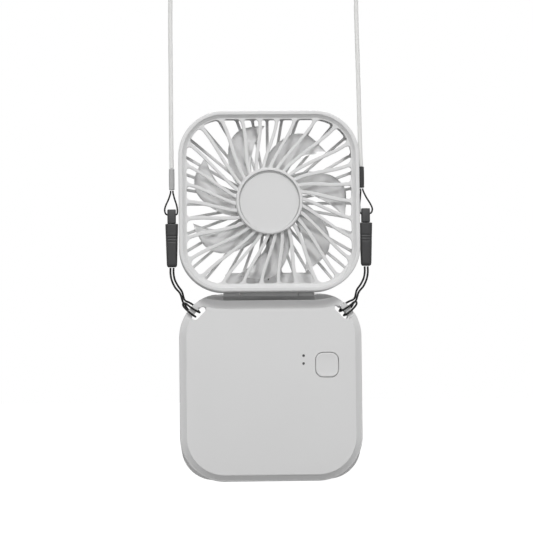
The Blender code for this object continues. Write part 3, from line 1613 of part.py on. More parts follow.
def make_buckle(side_name, x, look, pivot):
    upper = loft(
        "upper",
        [
            buckle_ring(x, BUCKLE_UPPER_WIDTH, BUCKLE_UPPER_DEPTH, BUCKLE_JOINT + CLEARANCE),
            buckle_ring(x, BUCKLE_UPPER_WIDTH, BUCKLE_UPPER_DEPTH, BUCKLE_TOP - BUCKLE_EDGE),
            buckle_ring(
                x, BUCKLE_UPPER_WIDTH - 2 * BUCKLE_EDGE, BUCKLE_UPPER_DEPTH - 2 * BUCKLE_EDGE, BUCKLE_TOP
            ),
        ],
    )
    half_tongue = TONGUE_WIDTH / 2
    tongue = loft(
        "tongue",
        [
            [
                Vector((x + side_x * half_tongue, side_y * TONGUE_DEPTH / 2, z))
                for side_x, side_y in ((1, 1), (-1, 1), (-1, -1), (1, -1))
            ]
            for z in (BUCKLE_JOINT - TONGUE_LENGTH, BUCKLE_JOINT + BUCKLE_EDGE * 2)
        ],
    )
    join(upper, tongue)
    eye = rod(
        "eye",
        BUCKLE_EYE_RADIUS,
        Vector((x - BUCKLE_UPPER_WIDTH, 0, BUCKLE_EYE_Z)),
        Vector((x + BUCKLE_UPPER_WIDTH, 0, BUCKLE_EYE_Z)),
        12,
    )
    cut(upper, eye)
    finish(upper, f"buckle_upper_{side_name}", look, pivot)

    foot = BUCKLE_BOTTOM + BUCKLE_FOOT_ROUND
    lower = loft(
        "lower",
        [
            buckle_ring(
                x, BUCKLE_FOOT_WIDTH - BUCKLE_FOOT_ROUND, BUCKLE_FOOT_DEPTH - BUCKLE_FOOT_ROUND, BUCKLE_BOTTOM
            ),
            buckle_ring(
                x,
                BUCKLE_FOOT_WIDTH - BUCKLE_FOOT_ROUND * 0.3,
                BUCKLE_FOOT_DEPTH - BUCKLE_FOOT_ROUND * 0.3,
                BUCKLE_BOTTOM + BUCKLE_FOOT_ROUND * 0.5,
            ),
            buckle_ring(x, BUCKLE_FOOT_WIDTH, BUCKLE_FOOT_DEPTH, foot),
            buckle_ring(x, BUCKLE_LOWER_WIDTH, BUCKLE_LOWER_DEPTH, BUCKLE_JOINT - BUCKLE_EDGE),
            buckle_ring(
                x, BUCKLE_LOWER_WIDTH - 2 * BUCKLE_EDGE, BUCKLE_LOWER_DEPTH - 2 * BUCKLE_EDGE, BUCKLE_JOINT
            ),
        ],
    )
    socket_floor = BUCKLE_JOINT - TONGUE_LENGTH - CLEARANCE
    socket = loft(
        "socket",
        [
            [
                Vector(
                    (
                        x + side_x * (half_tongue + CLEARANCE),
                        side_y * (TONGUE_DEPTH / 2 + CLEARANCE),
                        z,
                    )
                )
                for side_x, side_y in ((1, 1), (-1, 1), (-1, -1), (1, -1))
            ]
            for z in (socket_floor, BUCKLE_JOINT + OVERRUN)
        ],
    )
    cut(lower, socket)
    finish(lower, f"buckle_lower_{side_name}", look, pivot)


def make_sleeve(side_name, x, low, look, pivot):
    sleeve = turned(
        "sleeve",
        (
            (SLEEVE_RADIUS - SLEEVE_EDGE, low),
            (SLEEVE_RADIUS, low + SLEEVE_EDGE),
            (SLEEVE_RADIUS, low + SLEEVE_LENGTH - SLEEVE_EDGE),
            (SLEEVE_RADIUS - SLEEVE_EDGE, low + SLEEVE_LENGTH),
        ),
        12,
        Matrix.Translation((x, 0, 0)),
    )
    finish(sleeve, f"cord_sleeve_{side_name}", look, pivot)


def place_cord(name, points, radius, step, look, pivot):
    """A cord stays a curve object; its points are in the fan's frame."""
    cord = tube(name, points, radius, step)
    cord.data.materials.append(look)
    cord.parent = pivot
    return cord


def make_lanyard(looks, pivot):
    edge = HEAD_SIDE / 2
    for side, side_name, sleeve_out, sleeve_z, sleeve_look in (
        (-1, "left", LEFT_SLEEVE_OUT, LEFT_SLEEVE_Z, looks["grey"]),
        (1, "right", RIGHT_SLEEVE_OUT, RIGHT_SLEEVE_Z, looks["black"]),
    ):
        sleeve_x = side * (edge + sleeve_out)
        buckle_x = side * (edge + BUCKLE_OUT)
        make_sleeve(side_name, sleeve_x, sleeve_z, sleeve_look, pivot)
        make_buckle(side_name, buckle_x, looks["black"], pivot)
        top_z = UPPER_LOOP[0][2]
        upper = []
        for across, depth, z in UPPER_LOOP:
            lift = max(0.0, (z - BUCKLE_TOP) / (top_z - BUCKLE_TOP))
            x = buckle_x + (sleeve_x - buckle_x) * lift + side * across
            upper.append((x, depth, z + (sleeve_z - LEFT_SLEEVE_Z) * lift))
        place_cord(
            f"upper_loop_{side_name}", upper, THIN_CORD_RADIUS, THIN_CORD_STEP, looks["black"], pivot
        )
        lower = [(buckle_x + side * across, depth, z) for across, depth, z in LOWER_STRAND_OUT]
        lower += [tuple(corner_point(side, out, along, depth)) for out, along, depth in HITCH]
        lower += [(buckle_x + side * across, depth, z) for across, depth, z in reversed(LOWER_STRAND_IN)]
        place_cord(
            f"lower_loop_{side_name}", lower, LOWER_CORD_RADIUS, LOWER_CORD_STEP, looks["black"], pivot
        )
    neck = [(-edge - out, 0, z) for out, z in NECK_CORD_LEFT]
    neck.append((0, 0, CROWN_HEIGHT))
    neck += [(edge + out, 0, z) for out, z in NECK_CORD_RIGHT]
    place_cord("neck_cord", neck, CORD_RADIUS, CORD_STEP, looks["cord"], pivot)


def main():
    clear_scene()
    looks = {
        "shell": material("matt light ABS", (0.62, 0.62, 0.61), 0.55),
        "blade": material("glossy white ABS", (0.72, 0.72, 0.72), 0.35),
        "black": material("black nylon", (0.04, 0.04, 0.042), 0.5),
        "grey": material("grey nylon", (0.30, 0.30, 0.30), 0.55),
        "cord": material("white braided polyester", (0.66, 0.66, 0.65), 0.8),
        "steel": material("nickel-plated steel", (0.55, 0.55, 0.56), 0.3, 1.0),
        "bronze": material("sintered bronze", (0.45, 0.28, 0.12), 0.4, 1.0),
        "copper": material("enamelled copper windings", (0.50, 0.20, 0.08), 0.4, 1.0),
        "magnet": material("bonded ferrite", (0.05, 0.05, 0.05), 0.6),
        "board": material("green solder mask", (0.02, 0.14, 0.06), 0.4),
        "foil": material("aluminium pouch foil", (0.60, 0.61, 0.63), 0.35, 1.0),
        "clear": material("dark light-guide acrylic", (0.08, 0.08, 0.08), 0.2),
        "lead": material("red and black lead sheath", (0.10, 0.10, 0.10), 0.5),
    }
    fan = empty("fan", FAN_ORIGIN)
    head_place = Vector((0, HINGE_Y, HINGE_Z))
    head = empty("head_axis", head_place, fan)
    impeller_place = Vector((0, 0, HEAD_CENTRE_Z))
    impeller = empty("impeller_axis", impeller_place - head_place, head)
    button_place = Vector((BUTTON_X, FRONT_Y, BUTTON_Z))
    button = empty("button_axis", button_place, fan)

    make_front_grille(looks["shell"], head, head_place)
    make_rear_cover(looks["shell"], head, head_place)
    head_screw_names = ("head_screw_left", "head_screw_right")
    sizes = (HEAD_SCREW_RADIUS, HEAD_SCREW_HEAD)
    make_screws(HEAD_SCREWS, head_screw_names, *sizes, looks["steel"], head, head_place)
    retainer_front = make_impeller(looks["blade"], looks["steel"], looks["magnet"], impeller, impeller_place)
    make_motor(retainer_front, looks["copper"], looks["board"], looks["bronze"], head, head_place)

    make_base_front(looks["shell"], fan)
    make_base_back(looks["shell"], fan)
    make_button(looks["shell"], button, button_place)
    make_base_inside(looks, fan)
    base_screw_names = [f"base_screw_{number + 1}" for number in range(len(BASE_SCREWS))]
    sizes = (SCREW_RADIUS, SCREW_HEAD_RADIUS)
    make_screws(BASE_SCREWS, base_screw_names, *sizes, looks["steel"], fan, Vector((0, 0, 0)))
    make_hinge(looks, fan, head, head_place)
    make_leads(looks["lead"], fan, head, head_place)
    make_lanyard(looks, fan)


if __name__ == "__main__":
    main()
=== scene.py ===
"""Looks of the foldable mini fan: moulded shells, swirl grille, blades, motor, electronics and neck lanyard.

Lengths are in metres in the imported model's frame: +Z up, front towards -Y, origin at the neck cord's crown.
"""

from __future__ import annotations

import json
import logging
import math
from dataclasses import dataclass
from enum import Enum
from typing import Any, Callable, Sequence

import bmesh
import bpy
import numpy as np
from mathutils import Matrix, Vector
from numpy.typing import NDArray

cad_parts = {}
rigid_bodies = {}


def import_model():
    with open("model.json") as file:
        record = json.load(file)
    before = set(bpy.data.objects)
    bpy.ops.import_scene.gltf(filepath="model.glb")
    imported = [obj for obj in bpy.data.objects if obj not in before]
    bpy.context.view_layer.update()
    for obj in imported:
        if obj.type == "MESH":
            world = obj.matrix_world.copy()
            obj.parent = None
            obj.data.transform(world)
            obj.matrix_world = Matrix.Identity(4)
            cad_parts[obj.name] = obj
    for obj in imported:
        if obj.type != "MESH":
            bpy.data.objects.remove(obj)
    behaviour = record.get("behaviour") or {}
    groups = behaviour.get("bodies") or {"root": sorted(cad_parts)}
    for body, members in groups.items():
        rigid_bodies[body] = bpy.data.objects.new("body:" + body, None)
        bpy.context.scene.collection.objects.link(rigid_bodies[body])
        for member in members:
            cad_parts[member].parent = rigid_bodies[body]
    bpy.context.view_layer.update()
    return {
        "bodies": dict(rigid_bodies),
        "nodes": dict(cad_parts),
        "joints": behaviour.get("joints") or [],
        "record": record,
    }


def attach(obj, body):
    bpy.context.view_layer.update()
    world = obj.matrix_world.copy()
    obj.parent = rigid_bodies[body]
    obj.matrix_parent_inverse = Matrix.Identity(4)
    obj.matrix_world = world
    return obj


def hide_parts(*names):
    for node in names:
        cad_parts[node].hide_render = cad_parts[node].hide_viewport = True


LOG = logging.getLogger("mini_fan")
Array = NDArray[np.float64]
Piece = bpy.types.Object
Material = bpy.types.Material
Socket = bpy.types.NodeSocket
Pair = tuple[float, float]
Triple = tuple[float, float, float]

MM = 0.001
CROWN_HEIGHT = 0.2050  # from the parting line between head and base up to the origin
BACKWARDS = Vector((0, 1, 0))
SIDEWAYS = Vector((1, 0, 0))


# Node and mesh helpers


def linear(hex_colour: str) -> tuple[float, float, float, float]:
    """Turns an sRGB hex colour into the linear one that shaders take.

    Args:
        hex_colour: Six hex digits, with or without a leading #.

    Returns:
        Linear red, green, blue and an alpha of 1.
    """
    digits = hex_colour.lstrip("#")
    shares = [int(digits[start : start + 2], 16) / 255 for start in (0, 2, 4)]
    channels = [share / 12.92 if share <= 0.04045 else ((share + 0.055) / 1.055) ** 2.4 for share in shares]
    return (channels[0], channels[1], channels[2], 1.0)


def add_node(
    tree: bpy.types.NodeTree, kind: str, inputs: dict[Any, Any] | None = None, **settings: Any
) -> Any:
    """Adds a node, sets its options, and links or fills its inputs.

    Args:
        tree: The node tree that the node goes into.
        kind: The node's type name.
        inputs: Values or output sockets by input name or number.
        **settings: Options set on the node itself.

    Returns:
        The new node.
    """
    node = tree.nodes.new(kind)
    for option, value in settings.items():
        setattr(node, option, value)
    for key, value in (inputs or {}).items():
        if isinstance(value, bpy.types.NodeSocket):
            tree.links.new(value, node.inputs[key])
        else:
            node.inputs[key].default_value = value
    return node


@dataclass
class Surface:
    """Points, faces and an optional UV pair for each face corner."""

    points: Array
    faces: list[tuple[int, ...]]
    corners: Array | None = None

    def moved(self, matrix: Matrix) -> Surface:
        """Returns the surface carried through a matrix."""
        turn = np.array(matrix.to_3x3())
        return Surface(self.points @ turn.T + np.array(matrix.translation), self.faces, self.corners)


def merged(surfaces: Sequence[Surface]) -> Surface:
    """Puts several surfaces into one, each still closed on its own.

    Args:
        surfaces: The surfaces to put together.

    Returns:
        One surface with all points and faces.
    """
    points: list[Array] = []
    faces: list[tuple[int, ...]] = []
    corners: list[Array] = []
    start = 0
    for surface in surfaces:
        points.append(surface.points)
        faces.extend(tuple(index + start for index in face) for face in surface.faces)
        count = sum(len(face) for face in surface.faces)
        corners.append(np.zeros((count, 2)) if surface.corners is None else surface.corners)
        start += len(surface.points)
    return Surface(np.concatenate(points), faces, np.concatenate(corners))


def grid(points: Array, around: bool = True, along: bool = False, capped: bool = True,
         lengths: Array | None = None) -> Surface:
    """Makes quads over a grid of points: face (i, j) joins rows i and i+1 and columns j and j+1.

    Args:
        points: Rows by columns by 3.
        around: Whether the last column joins the first.
        along: Whether the last row joins the first.
        capped: Whether the first and last rows are filled, where along is off.
        lengths: The V of each row, in metres; U runs from 0 to 1 round the columns.

    Returns:
        The surface with its UV corners.
    """
    rows, columns = points.shape[:2]
    index = np.arange(rows * columns).reshape(rows, columns)
    down = np.vstack((index, index[:1])) if along else index
    across = np.hstack((down, down[:, :1])) if around else down
    quads = np.stack((across[:-1, :-1], across[:-1, 1:], across[1:, 1:], across[1:, :-1]), -1)
    faces: list[tuple[int, ...]] = [tuple(quad) for quad in quads.reshape(-1, 4).tolist()]
    v = np.arange(rows + 1.0) if lengths is None else np.append(lengths, lengths[-1])
    u = np.arange(across.shape[1]) / columns
    high, wide = across.shape[0] - 1, across.shape[1] - 1
    corner_u = np.stack((u[:-1], u[1:], u[1:], u[:-1]), -1)
    corner_v = np.stack((v[:high], v[:high], v[1 : high + 1], v[1 : high + 1]), -1)
    spread = [np.broadcast_to(part, (high, wide, 4)) for part in (corner_u[None], corner_v[:, None])]
    corners = np.stack(spread, -1).reshape(-1, 2)
    if capped and around and not along:
        faces.append(tuple(index[0][::-1].tolist()))
        faces.append(tuple(index[-1].tolist()))
        caps = np.zeros((2 * columns, 2))
        caps[:, 0] = np.tile(np.arange(columns) / columns, 2)
        caps[:, 1] = np.repeat([v[0], v[rows - 1]], columns)
        corners = np.vstack((corners, caps))
    return Surface(points.reshape(-1, 3), faces, corners)


def make_object(name: str, surface: Surface, material: Material, smooth: float = 32.0) -> Piece:
    """Puts a surface into a mesh object at the origin, with outward faces and sharp edges by angle.

    Args:
        name: The piece's name.
        surface: Its points, faces and UV corners.
        material: Its finish.
        smooth: Edges that turn more than this many degrees stay sharp.

    Returns:
        The new object.
    """
    mesh = bpy.data.meshes.new(name)
    mesh.from_pydata(surface.points.tolist(), [], surface.faces)
    if surface.corners is not None:
        layer = mesh.uv_layers.new(name="along")
        layer.data.foreach_set("uv", surface.corners.astype(np.float32).ravel())
    shape = bmesh.new()
    shape.from_mesh(mesh)
    bmesh.ops.recalc_face_normals(shape, faces=shape.faces)
    shape.to_mesh(mesh)
    shape.free()
    piece = bpy.data.objects.new(name, mesh)
    bpy.context.scene.collection.objects.link(piece)
    mesh.materials.append(material)
    mesh.shade_smooth()
    mesh.set_sharp_from_angle(angle=math.radians(smooth))
    return piece


def shown(piece: Piece, node: str, body: str) -> Piece:
    """Lets a finished piece stand for a CAD node, ride on its body, and be reported.

    Args:
        piece: The piece.
        node: The CAD node that it is shown for.
        body: The body that carries it.

    Returns:
        The same piece.
    """
    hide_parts(node)
    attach(piece, body)
    LOG.info("%s: %s, %d faces", body, piece.name, len(piece.data.polygons))
    return piece


def soften(piece: Piece, width: float, angle: float) -> None:
    """Rounds a piece's sharp edges with a small bevel.

    Args:
        piece: The object.
        width: The bevel's width.
        angle: Edges that turn more than this many degrees are rounded.
    """
    bevel = piece.modifiers.new("Edge", "BEVEL")
    bevel.width = width
    bevel.segments = 2
    bevel.limit_method = "ANGLE"
    bevel.angle_limit = math.radians(angle)
    bevel.harden_normals = False


def split_wide_faces(piece: Piece) -> None:
    """Splits faces of more than four corners into triangles, so that a bevel can't fold one over a notch.

    Args:
        piece: The object to change.
    """
    shape = bmesh.new()
    shape.from_mesh(piece.data)
    bmesh.ops.triangulate(shape, faces=[face for face in shape.faces if len(face.verts) > 4])
    shape.to_mesh(piece.data)
    shape.free()


def bake(piece: Piece) -> None:
    """Replaces a piece's mesh by what its modifiers make of it.

    Args:
        piece: The object to change.
    """
    graph = bpy.context.evaluated_depsgraph_get()
    mesh = bpy.data.meshes.new_from_object(piece.evaluated_get(graph))
    piece.modifiers.clear()
    old = piece.data
    piece.data = mesh
    bpy.data.meshes.remove(old)


def cut(piece: Piece, cutters: Sequence[Surface], join: bool = False) -> None:
    """Cuts surfaces out of a piece, or joins them to it.

    Args:
        piece: The object to change.
        cutters: Closed surfaces.
        join: Whether they are joined instead.
    """
    for cutter in cutters:
        tool = make_object("tool", cutter, piece.data.materials[0])
        change = piece.modifiers.new("Cut", "BOOLEAN")
        change.operation = "UNION" if join else "DIFFERENCE"
        change.solver = "EXACT"
        change.object = tool
        bake(piece)
        mesh = tool.data
        bpy.data.objects.remove(tool, do_unlink=True)
        bpy.data.meshes.remove(mesh)


def smooth_again(piece: Piece, smooth: float = 32.0) -> None:
    """Sets smooth shading with sharp edges by angle, after cuts have changed the mesh."""
    piece.data.shade_smooth()
    piece.data.set_sharp_from_angle(angle=math.radians(smooth))


# Shape formulas


def join_xyz(x: Any, y: Any, z: Any) -> Array:
    """Joins coordinates into points, each spread over the others' shape."""
    return np.stack(np.broadcast_arrays(x, y, z), -1)


def bend(start: Pair, end: Pair, steps: int, flat_first: bool = False) -> Array:
    """A quarter ellipse between two profile points.

    With t from 0 to 90 degrees the first coordinate goes with 1-cos t and the second with sin t. flat_first
    swaps them, so that the curve leaves along the first coordinate.

    Args:
        start: First point.
        end: Last point.
        steps: Segments.
        flat_first: Whether it leaves along the first coordinate.

    Returns:
        Points, the ends included.
    """
    turn = np.linspace(0, math.pi / 2, steps + 1)
    slow, fast = 1 - np.cos(turn), np.sin(turn)
    first, second = (fast, slow) if flat_first else (slow, fast)
    return np.stack((start[0] + (end[0] - start[0]) * first, start[1] + (end[1] - start[1]) * second), -1)


def profile(*stretches: Sequence[Any]) -> Array:
    """Strings single points and runs of points into one profile."""
    return np.vstack([np.atleast_2d(np.asarray(stretch, dtype=float)) for stretch in stretches])


@dataclass(frozen=True)
class RoundedBox:
    """A rounded rectangle in the XZ plane.

    Its outline is centre + (corner - inset) * direction, quarter by quarter.
    """

    width: float
    height: float
    corner: float
    centre_x: float
    centre_z: float

    def directions(self, steps: int) -> tuple[Array, Array]:
        """Corner centres and unit directions for each outline point.

        Args:
            steps: Segments per corner.

        Returns:
            Two arrays of points by 2.
        """
        turn = np.linspace(0, math.pi / 2, steps + 1)
        angle = (np.arange(4)[:, None] * math.pi / 2 + turn[None]).ravel()
        side_x = np.repeat([1, -1, -1, 1], steps + 1)
        side_z = np.repeat([1, 1, -1, -1], steps + 1)
        centre_x = self.centre_x + side_x * (self.width / 2 - self.corner)
        centre_z = self.centre_z + side_z * (self.height / 2 - self.corner)
        return np.stack((centre_x, centre_z), -1), np.stack((np.cos(angle), np.sin(angle)), -1)

    def rings(self, shape: Array, steps: int) -> Array:
        """Carries a profile of (inset, depth) points round the outline.

        Args:
            shape: Profile points.
            steps: Segments per corner.

        Returns:
            Points, a row for each profile point.
        """
        centres, directions = self.directions(steps)
        flat = centres[None] + (self.corner - shape[:, None, :1]) * directions[None]
        return join_xyz(flat[..., 0], shape[:, None, 1], flat[..., 1])

    def swept(self, shape: Array, steps: int, closed: bool) -> Surface:
        """The profile's rings as a surface, which joins its own start where closed, as on a frame."""
        return grid(self.rings(shape, steps), around=True, along=closed)

    def prism(self, near: float, far: float, steps: int, grow: float = 0.0) -> Surface:
        """A straight block through the outline, grown by grow, from depth near to depth far."""
        return self.swept(np.array([(-grow, near), (-grow, far)]), steps, False)


def revolved(shape: Array, steps: int, centre: Vector, axis: Vector, closed: bool = False) -> Surface:
    """Turns a profile of (radius, distance along the axis) points round an axis.

    Args:
        shape: Profile points.
        steps: Segments round the axis.
        centre: The axis's zero.
        axis: Its direction.
        closed: Whether the profile joins its own start, as on a ring.

    Returns:
        The surface.
    """
    angle = np.linspace(0, math.tau, steps, endpoint=False)
    around = shape[:, None, 0]
    points = join_xyz(around * np.cos(angle), around * np.sin(angle), shape[:, None, 1])
    turn = Matrix.Translation(centre) @ axis.to_track_quat("Z", "Y").to_matrix().to_4x4()
    return grid(points, around=True, along=closed).moved(turn)


def ring(
    outer: float, inner: float, near: float, far: float, edge: float, steps: int, centre: Vector
) -> Surface:
    """A pipe from front to back with bevelled outer edges.

    Args:
        outer: Its outer radius.
        inner: Its bore's radius.
        near: Its front depth.
        far: Its back depth.
        edge: The bevels' width.
        steps: Segments round it.
        centre: A point on its axis, at depth 0.

    Returns:
        The surface.
    """
    shape = np.array(
        [(inner, near), (outer - edge, near), (outer, near + edge), (outer, far - edge), (outer - edge, far),
         (inner, far)]
    )
    return revolved(shape, steps, centre, BACKWARDS, closed=True)


def rod(radius: float, near: float, far: float, centre: Vector, axis: Vector = BACKWARDS, steps: int = 32,
        edge: float = 0.0) -> Surface:
    """A solid rod with bevelled edges, from near to far along its axis.

    Args:
        radius: Its radius.
        near: Where it starts.
        far: Where it ends.
        centre: The axis's zero.
        axis: Its direction.
        steps: Segments round it.
        edge: The bevels' width.

    Returns:
        The surface.
    """
    shape = np.array([
        (radius - edge, near), (radius, near + edge), (radius, far - edge), (radius - edge, far),
    ])
    return revolved(shape, steps, centre, axis)


def prism(outline: Array, near: float, far: float) -> Surface:
    """A straight block through an outline of (x, z) points, from depth near to depth far."""
    return grid(join_xyz(outline[None, :, 0], np.array([[near], [far]]), outline[None, :, 1]))


def mirrored(half: Array) -> Array:
    """Closes the right half of an (x, z) outline with its mirror image."""
    return np.vstack((half, half[::-1] * (-1, 1)))


def at_crown(surface: Surface) -> Surface:
    """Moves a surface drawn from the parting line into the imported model's frame."""
    return surface.moved(Matrix.Translation((0, 0, -CROWN_HEIGHT)))


def smooth_route(points: Sequence[Sequence[float]], step: float) -> Array:
    """Points about step apart on a Catmull-Rom curve through given ones.

    Args:
        points: The chosen points.
        step: The wanted spacing.

    Returns:
        The route's points.
    """
    given = np.asarray(points, dtype=float)
    ends = np.vstack((2 * given[0] - given[1], given, 2 * given[-1] - given[-2]))
    share = np.linspace(0, 1, 40, endpoint=False)[None, :, None]
    before, start, end, after = (ends[offset : len(given) - 1 + offset, None] for offset in range(4))
    fine = 0.5 * (
        2 * start
        + (end - before) * share
        + (2 * before - 5 * start + 4 * end - after) * share**2
        + (3 * start - before - 3 * end + after) * share**3
    )
    fine = np.vstack((fine.reshape(-1, 3), given[-1:]))
    along = np.concatenate(([0], np.cumsum(np.linalg.norm(np.diff(fine, axis=0), axis=1))))
    wanted = np.linspace(0, along[-1], max(2, round(along[-1] / step)) + 1)
    return np.stack([np.interp(wanted, along, fine[:, axis]) for axis in range(3)], -1)


def tube(route: Array, radius: Callable[[Array, Array], Array], sides: int) -> Surface:
    """A tube along a route: each ring stands square to the route, and its frame turns as little as it can.

    Args:
        route: Points along the middle.
        radius: Gives the radius from the share round the tube and the distance along it.
        sides: Points per ring.

    Returns:
        The surface, with U round the tube and V in metres along it.
    """
    tangent = np.gradient(route, axis=0)
    tangent /= np.linalg.norm(tangent, axis=1)[:, None]
    normal = np.zeros_like(tangent)
    first = np.array((0.0, 1.0, 0.0)) if abs(tangent[0][1]) < 0.9 else np.array((1.0, 0.0, 0.0))
    for number, direction in enumerate(tangent):
        first = first - direction * (first @ direction)
        first /= np.linalg.norm(first)
        normal[number] = first
    second = np.cross(tangent, normal)
    along = np.concatenate(([0], np.cumsum(np.linalg.norm(np.diff(route, axis=0), axis=1))))
    share = np.arange(sides) / sides
    angle = share * math.tau
    size = radius(share[None, :], along[:, None])[..., None]
    points = route[:, None] + size * (
        np.cos(angle)[None, :, None] * normal[:, None] + np.sin(angle)[None, :, None] * second[:, None]
    )
    return grid(points, lengths=along)


# Finishes


class Shading:
    """A new material, with short ways to add what the finishes need."""

    def __init__(self, name: str) -> None:
        """Makes the material with its shader and object coordinates.

        Args:
            name: The material's name.
        """
        self.material = bpy.data.materials.new(name)
        self.material.use_nodes = True
        self.tree = self.material.node_tree
        self.shader = self.tree.nodes["Principled BSDF"]
        self.place = self.add("ShaderNodeTexCoord").outputs["Object"]

    def add(self, kind: str, inputs: dict[Any, Any] | None = None, **settings: Any) -> Any:
        """Adds a node to this material."""
        return add_node(self.tree, kind, inputs, **settings)

    def calculate(self, operation: str, *values: Any) -> Socket:
        """The result of one operation on sockets or numbers."""
        return self.add("ShaderNodeMath", dict(enumerate(values)), operation=operation).outputs[0]

    def noise(self, size_mm: float, detail: float = 2.0, place: Socket | None = None) -> Socket:
        """Noise with features of about the given size.

        Args:
            size_mm: The features' size in millimetres.
            detail: How many finer layers are on it.
            place: Coordinates to use in place of the piece's own.

        Returns:
            The noise's output, from 0 to 1.
        """
        where = self.place if place is None else place
        inputs = {"Vector": where, "Scale": 1 / (size_mm * MM), "Detail": detail}
        return self.add("ShaderNodeTexNoise", inputs).outputs["Fac"]

    def tint(self, share: Socket, colour: str, other: str) -> None:
        """Mixes two sRGB colours into the base colour.

        Args:
            share: The second colour's share.
            colour: The first colour.
            other: The second colour.
        """
        inputs = {0: share, "A": linear(colour), "B": linear(other)}
        mixed = self.add("ShaderNodeMix", inputs, data_type="RGBA")
        self.tree.links.new(mixed.outputs["Result"], self.shader.inputs["Base Color"])

    def gloss(self, share: Socket, low: float, high: float) -> None:
        """Lets the roughness run from low to high."""
        spread = self.add("ShaderNodeMapRange", {"Value": share, "To Min": low, "To Max": high})
        self.tree.links.new(spread.outputs["Result"], self.shader.inputs["Roughness"])

    def bump(self, height: Socket, depth_mm: float, strength: float) -> None:
        """Raises the surface where the height is high.

        Args:
            height: The height, from 0 to 1.
            depth_mm: What a height of 1 stands for, in millimetres.
            strength: How much of it is shown.
        """
        inputs = {"Height": height, "Distance": depth_mm * MM, "Strength": strength}
        bumped = self.add("ShaderNodeBump", inputs)
        self.tree.links.new(bumped.outputs["Normal"], self.shader.inputs["Normal"])

    def done(self, values: dict[str, Any]) -> Material:
        """Sets the shader's plain values and returns the material.

        Args:
            values: Values by the names of the shader's inputs.

        Returns:
            The finished material.
        """
        for name, value in values.items():
            self.shader.inputs[name].default_value = value
        return self.material


class Polymer(Enum):
    """Roughness and its swing on the two surfaces that the moulds give: spark-eroded matt and polished."""

    MATT = (0.52, 0.30)
    POLISHED = (0.34, 0.12)


@dataclass(frozen=True)
class MouldedPlastic:
    """Injection-moulded plastic: a fine even grain, a nearly even colour, and light let through if milky.

    The real grain is about 0.1 mm. It is drawn coarser here, so that it shows.
    """

    name: str
    colour: str
    shade: str
    surface: Polymer
    grain_mm: float = 0.35
    relief_mm: float = 0.010
    clear_share: float = 0.0
    cloud_mm: float = 40.0

    def build(self) -> Material:
        """Makes the material.

        Returns:
            The material.
        """
        made = Shading(self.name)
        roughness, swing = self.surface.value
        grain = made.noise(self.grain_mm)
        made.tint(made.noise(self.cloud_mm, 3.0), self.colour, self.shade)
        made.gloss(grain, roughness - swing / 4, roughness + swing / 4)
        made.bump(grain, self.relief_mm, 0.6)
        return made.done({"IOR": 1.53, "Transmission Weight": self.clear_share})


@dataclass(frozen=True)
class BraidedCord:
    """Braided yarn: strands that cross at the braid's angle, with painted shade where they dive under each
    other.
    """

    name: str
    colour: str
    # The colour of the painted shade in the hollows where the strands dive under each other.
    shade: str
    pitch_mm: float
    carriers: int
    sheen: float = 0.15
    fibre_mm: float = 0.25
    relief_mm: float = 0.06

    def build(self) -> Material:
        """Makes the material from the cord's own UV, where V is in metres.

        Returns:
            The material.
        """
        made = Shading(self.name)
        place = made.add("ShaderNodeUVMap", uv_map="along").outputs["UV"]
        parts = made.add("ShaderNodeSeparateXYZ", {"Vector": place}).outputs
        turns = made.calculate("MULTIPLY", parts["X"], float(self.carriers))
        steps = made.calculate("MULTIPLY", parts["Y"], 1 / (self.pitch_mm * MM))
        waves = []
        for operation in ("ADD", "SUBTRACT"):
            whole = made.calculate("MULTIPLY", made.calculate(operation, turns, steps), math.pi)
            waves.append(made.calculate("ABSOLUTE", made.calculate("SINE", whole)))
        weave_and_painted_shade = made.calculate("MULTIPLY", *waves)
        # Painted shade: the colour darkens to the shade colour in the weave's hollows, where one strand dives
        # under the other; the same pattern also drives the real bump below.
        made.tint(weave_and_painted_shade, self.shade, self.colour)
        made.bump(made.calculate("ADD", weave_and_painted_shade, made.noise(self.fibre_mm)), self.relief_mm, 0.7)
        return made.done({"Roughness": 0.72, "Sheen Weight": self.sheen})


@dataclass(frozen=True)
class WorkedMetal:
    """Plated, sintered or drawn metal, with fine scratches along one direction."""

    name: str
    colour: str
    roughness: float
    metallic: float
    stretch: Triple
    scratch_mm: float = 0.15
    relief_mm: float = 0.004

    def build(self) -> Material:
        """Makes the material.

        Returns:
            The material.
        """
        made = Shading(self.name)
        drawn = made.add("ShaderNodeMapping", {"Vector": made.place, "Scale": self.stretch})
        scratches = made.noise(self.scratch_mm, place=drawn.outputs["Vector"])
        made.gloss(scratches, self.roughness - 0.08, self.roughness + 0.10)
        made.bump(scratches, self.relief_mm, 0.5)
        return made.done({"Base Color": linear(self.colour), "Metallic": self.metallic})


@dataclass(frozen=True)
class BandedFinish:
    """A surface with bands along one direction, such as stacked sheets or a board's copper traces."""

    name: str
    colour: str
    band: str
    band_mm: float
    roughness: float
    metallic: float
    direction: str
    relief_mm: float = 0.03

    def build(self) -> Material:
        """Makes the material.

        Returns:
            The material.
        """
        made = Shading(self.name)
        scale = 0.314 / (self.band_mm * MM)
        inputs = {"Vector": made.place, "Scale": scale, "Distortion": 1.5, "Detail": 2.0}
        bands = made.add("ShaderNodeTexWave", inputs, bands_direction=self.direction).outputs["Fac"]
        made.tint(bands, self.colour, self.band)
        made.bump(bands, self.relief_mm, 0.5)
        return made.done({"Roughness": self.roughness, "Metallic": self.metallic})


